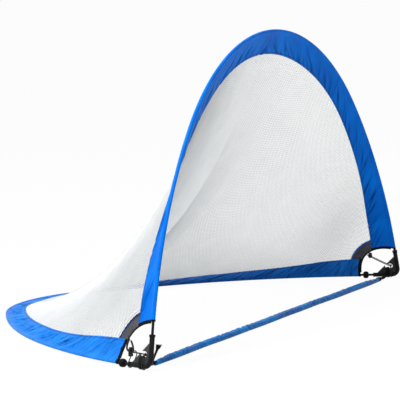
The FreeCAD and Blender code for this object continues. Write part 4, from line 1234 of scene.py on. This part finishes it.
def make_straps():
    """Each strap's loop round the elbow's rear arm and its two layers along the bar's end."""
    bar_low, bar_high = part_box("ground_bar")
    for name, side in SIDES:
        arm = arm_at_setback(side)
        heading = rear.heading(side)
        up = square_to(front.heading(side), heading)
        across = np.cross(heading, up)
        radius, rise = 0.0078 + 0.00125, 0.0192
        points, outward = round_two(arm + up * rise, arm, radius, across, up, 24)
        points, outward = np.array(points + points[:1]), np.array(outward + outward[:1])
        lengths = distances_along(points)
        even = np.linspace(0, lengths[-1], 80)
        ring, facing = resample(points, lengths, even), resample(outward, lengths, even)
        loop = strip("strap_loop_" + name, ring, facing, STRAP_WIDTH, 0.0024, webbing, ribs=4)
        inner_x = side * (abs(arm[0]) - 0.0090)
        outer_x = side * (bar_high[0] - 0.006)
        layers = [loop]
        middle_z = (bar_low[2] + bar_high[2]) / 2
        for number, lift in enumerate((-0.0015, 0.0015)):
            x = np.linspace(inner_x, outer_x, 60)
            share = np.linspace(0, 1, 60)
            z = middle_z + lift * (1 + 0.5 * np.sin(share * math.pi)) + 0.0012 * np.sin(share * 7 + number)
            y = 0.0008 * np.sin(share * 9 + number)
            path = np.stack([x, y, z], axis=1)
            normals = np.tile((0, 0, 1.0), (60, 1)) + np.stack(
                [np.zeros(60), 0.12 * np.sin(share * 5 + number), np.zeros(60)], axis=1)
            layers.append(strip("strap_run", path, normals, STRAP_WIDTH, 0.0026, webbing, ribs=4))
        assign(join_pieces("end_strap_%s_webbing" % name, layers), "end_strap_" + name, "base")
    make_strap_tail(bar_high[0])


def make_strap_tail(bar_end):
    """Loose end of the left strap: it stands up beside the bar and flares into a frayed end."""
    foot = np.array((-bar_end - 0.014, 0, 0.012))
    route = np.array(((0.001, 0, 0.0002), (0.006, -0.002, 0.012), (0.015, -0.005, 0.026),
                      (0.020, -0.008, 0.038), (0.021, -0.010, 0.043), (0.023, -0.011, 0.0465)))
    path = smooth_path(foot + route, 40)
    share = np.linspace(0, 1, 40)
    width = 0.009 * np.interp(share, (0, 0.5, 0.72, 0.86, 1), (1, 0.9, 0.95, 1.6, 2.0))
    tangents = unit(np.gradient(path, axis=0))
    normals = unit(np.cross(tangents, (0, 1.0, 0)))
    parts = [strip("tail", path, normals, width, 0.0016, webbing, ribs=4)]
    end, tip = path[-1], tangents[-1]
    for offset in np.linspace(-1, 1, 17):
        start = end + np.array((0, offset * width[-1] / 2 * 0.96, 0)) - tip * 0.002
        lean = tip + np.array((pick(-0.3, 0.3, 1)[0], offset * 0.5 + pick(-0.15, 0.15, 1)[0], 0))
        reach = pick(0.003, 0.0062, 1)[0]
        bowed = np.array([start, start + lean * reach * 0.5, start + lean * reach + tip * 0.0004])
        parts.append(face_outward(tube("thread", smooth_path(bowed, 6), 0.00042, webbing, 5)))
    assign(join_pieces("strap_tail_left_frayed", parts), "strap_tail_left", "base")


# ---- floor and light ---------------------------------------------------------------------------

def seen_share(tree):
    """1 for what the camera, gloss and glass see, 0 for the light that falls on things."""
    path = node(tree, "ShaderNodeLightPath")
    seen = math_node(tree, "MAXIMUM", path.outputs["Is Camera Ray"], path.outputs["Is Glossy Ray"])
    return math_node(tree, "MAXIMUM", seen, path.outputs["Is Transmission Ray"])


def mix_shaders(tree, factor, first, second, output):
    mix = node(tree, "ShaderNodeMixShader", {0: factor, 1: first, 2: second})
    plug(tree, tree.nodes[output].inputs["Surface"], mix.outputs[0])


FLOOR_HALF = 400
FLOOR_WHITE = 0.96
WORLD_LIGHT = 0.26


def make_stage():
    """A white floor and sky to look at, with only a little light from the sky."""
    material, tree, shader = material_of("Studio floor", (0.86, 0.86, 0.86), 0.9)
    glow = node(tree, "ShaderNodeEmission", {"Strength": 1.0})
    mix_shaders(tree, math_node(tree, "MULTIPLY", seen_share(tree), FLOOR_WHITE), shader.outputs[0],
                glow.outputs[0], "Material Output")
    corners = [(x * FLOOR_HALF, y * FLOOR_HALF, 0) for x, y in ((-1, -1), (1, -1), (1, 1), (-1, 1))]
    make_piece("floor", corners, [(0, 1, 2, 3)], material, smooth=False)
    world = bpy.data.worlds.new("Studio")
    world.use_nodes = True
    scene.world = world
    tree = world.node_tree
    plain = tree.nodes["Background"]
    white = node(tree, "ShaderNodeBackground")
    for background, strength in ((plain, WORLD_LIGHT), (white, 1)):
        background.inputs["Color"].default_value = (1, 1, 1, 1)
        background.inputs["Strength"].default_value = strength
    mix_shaders(tree, seen_share(tree), plain.outputs[0], white.outputs[0], "World Output")
    add_light("Key", (-3.4, 1.5, 6.4), (-0.3, 0.2, 0.4), 1.6, 640)
    add_light("Fill", (-2.6, -3.0, 2.0), (0.0, 0.1, 0.6), 1.6, 22)


def add_light(name, place, target, size, power):
    lamp = bpy.data.lights.new(name, "AREA")
    lamp.shape = "DISK"
    lamp.size = size
    lamp.energy = power
    light = bpy.data.objects.new(name, lamp)
    light.location = place
    light.rotation_euler = (Vector(target) - Vector(place)).to_track_quat("-Z", "Y").to_euler()
    scene.collection.objects.link(light)


make_springs()
make_front_rods()
make_sleeves()
make_net()
make_corner_cloth()
make_ground_bar()
make_straps()
make_stage()
scene.view_settings.view_transform = "Standard"
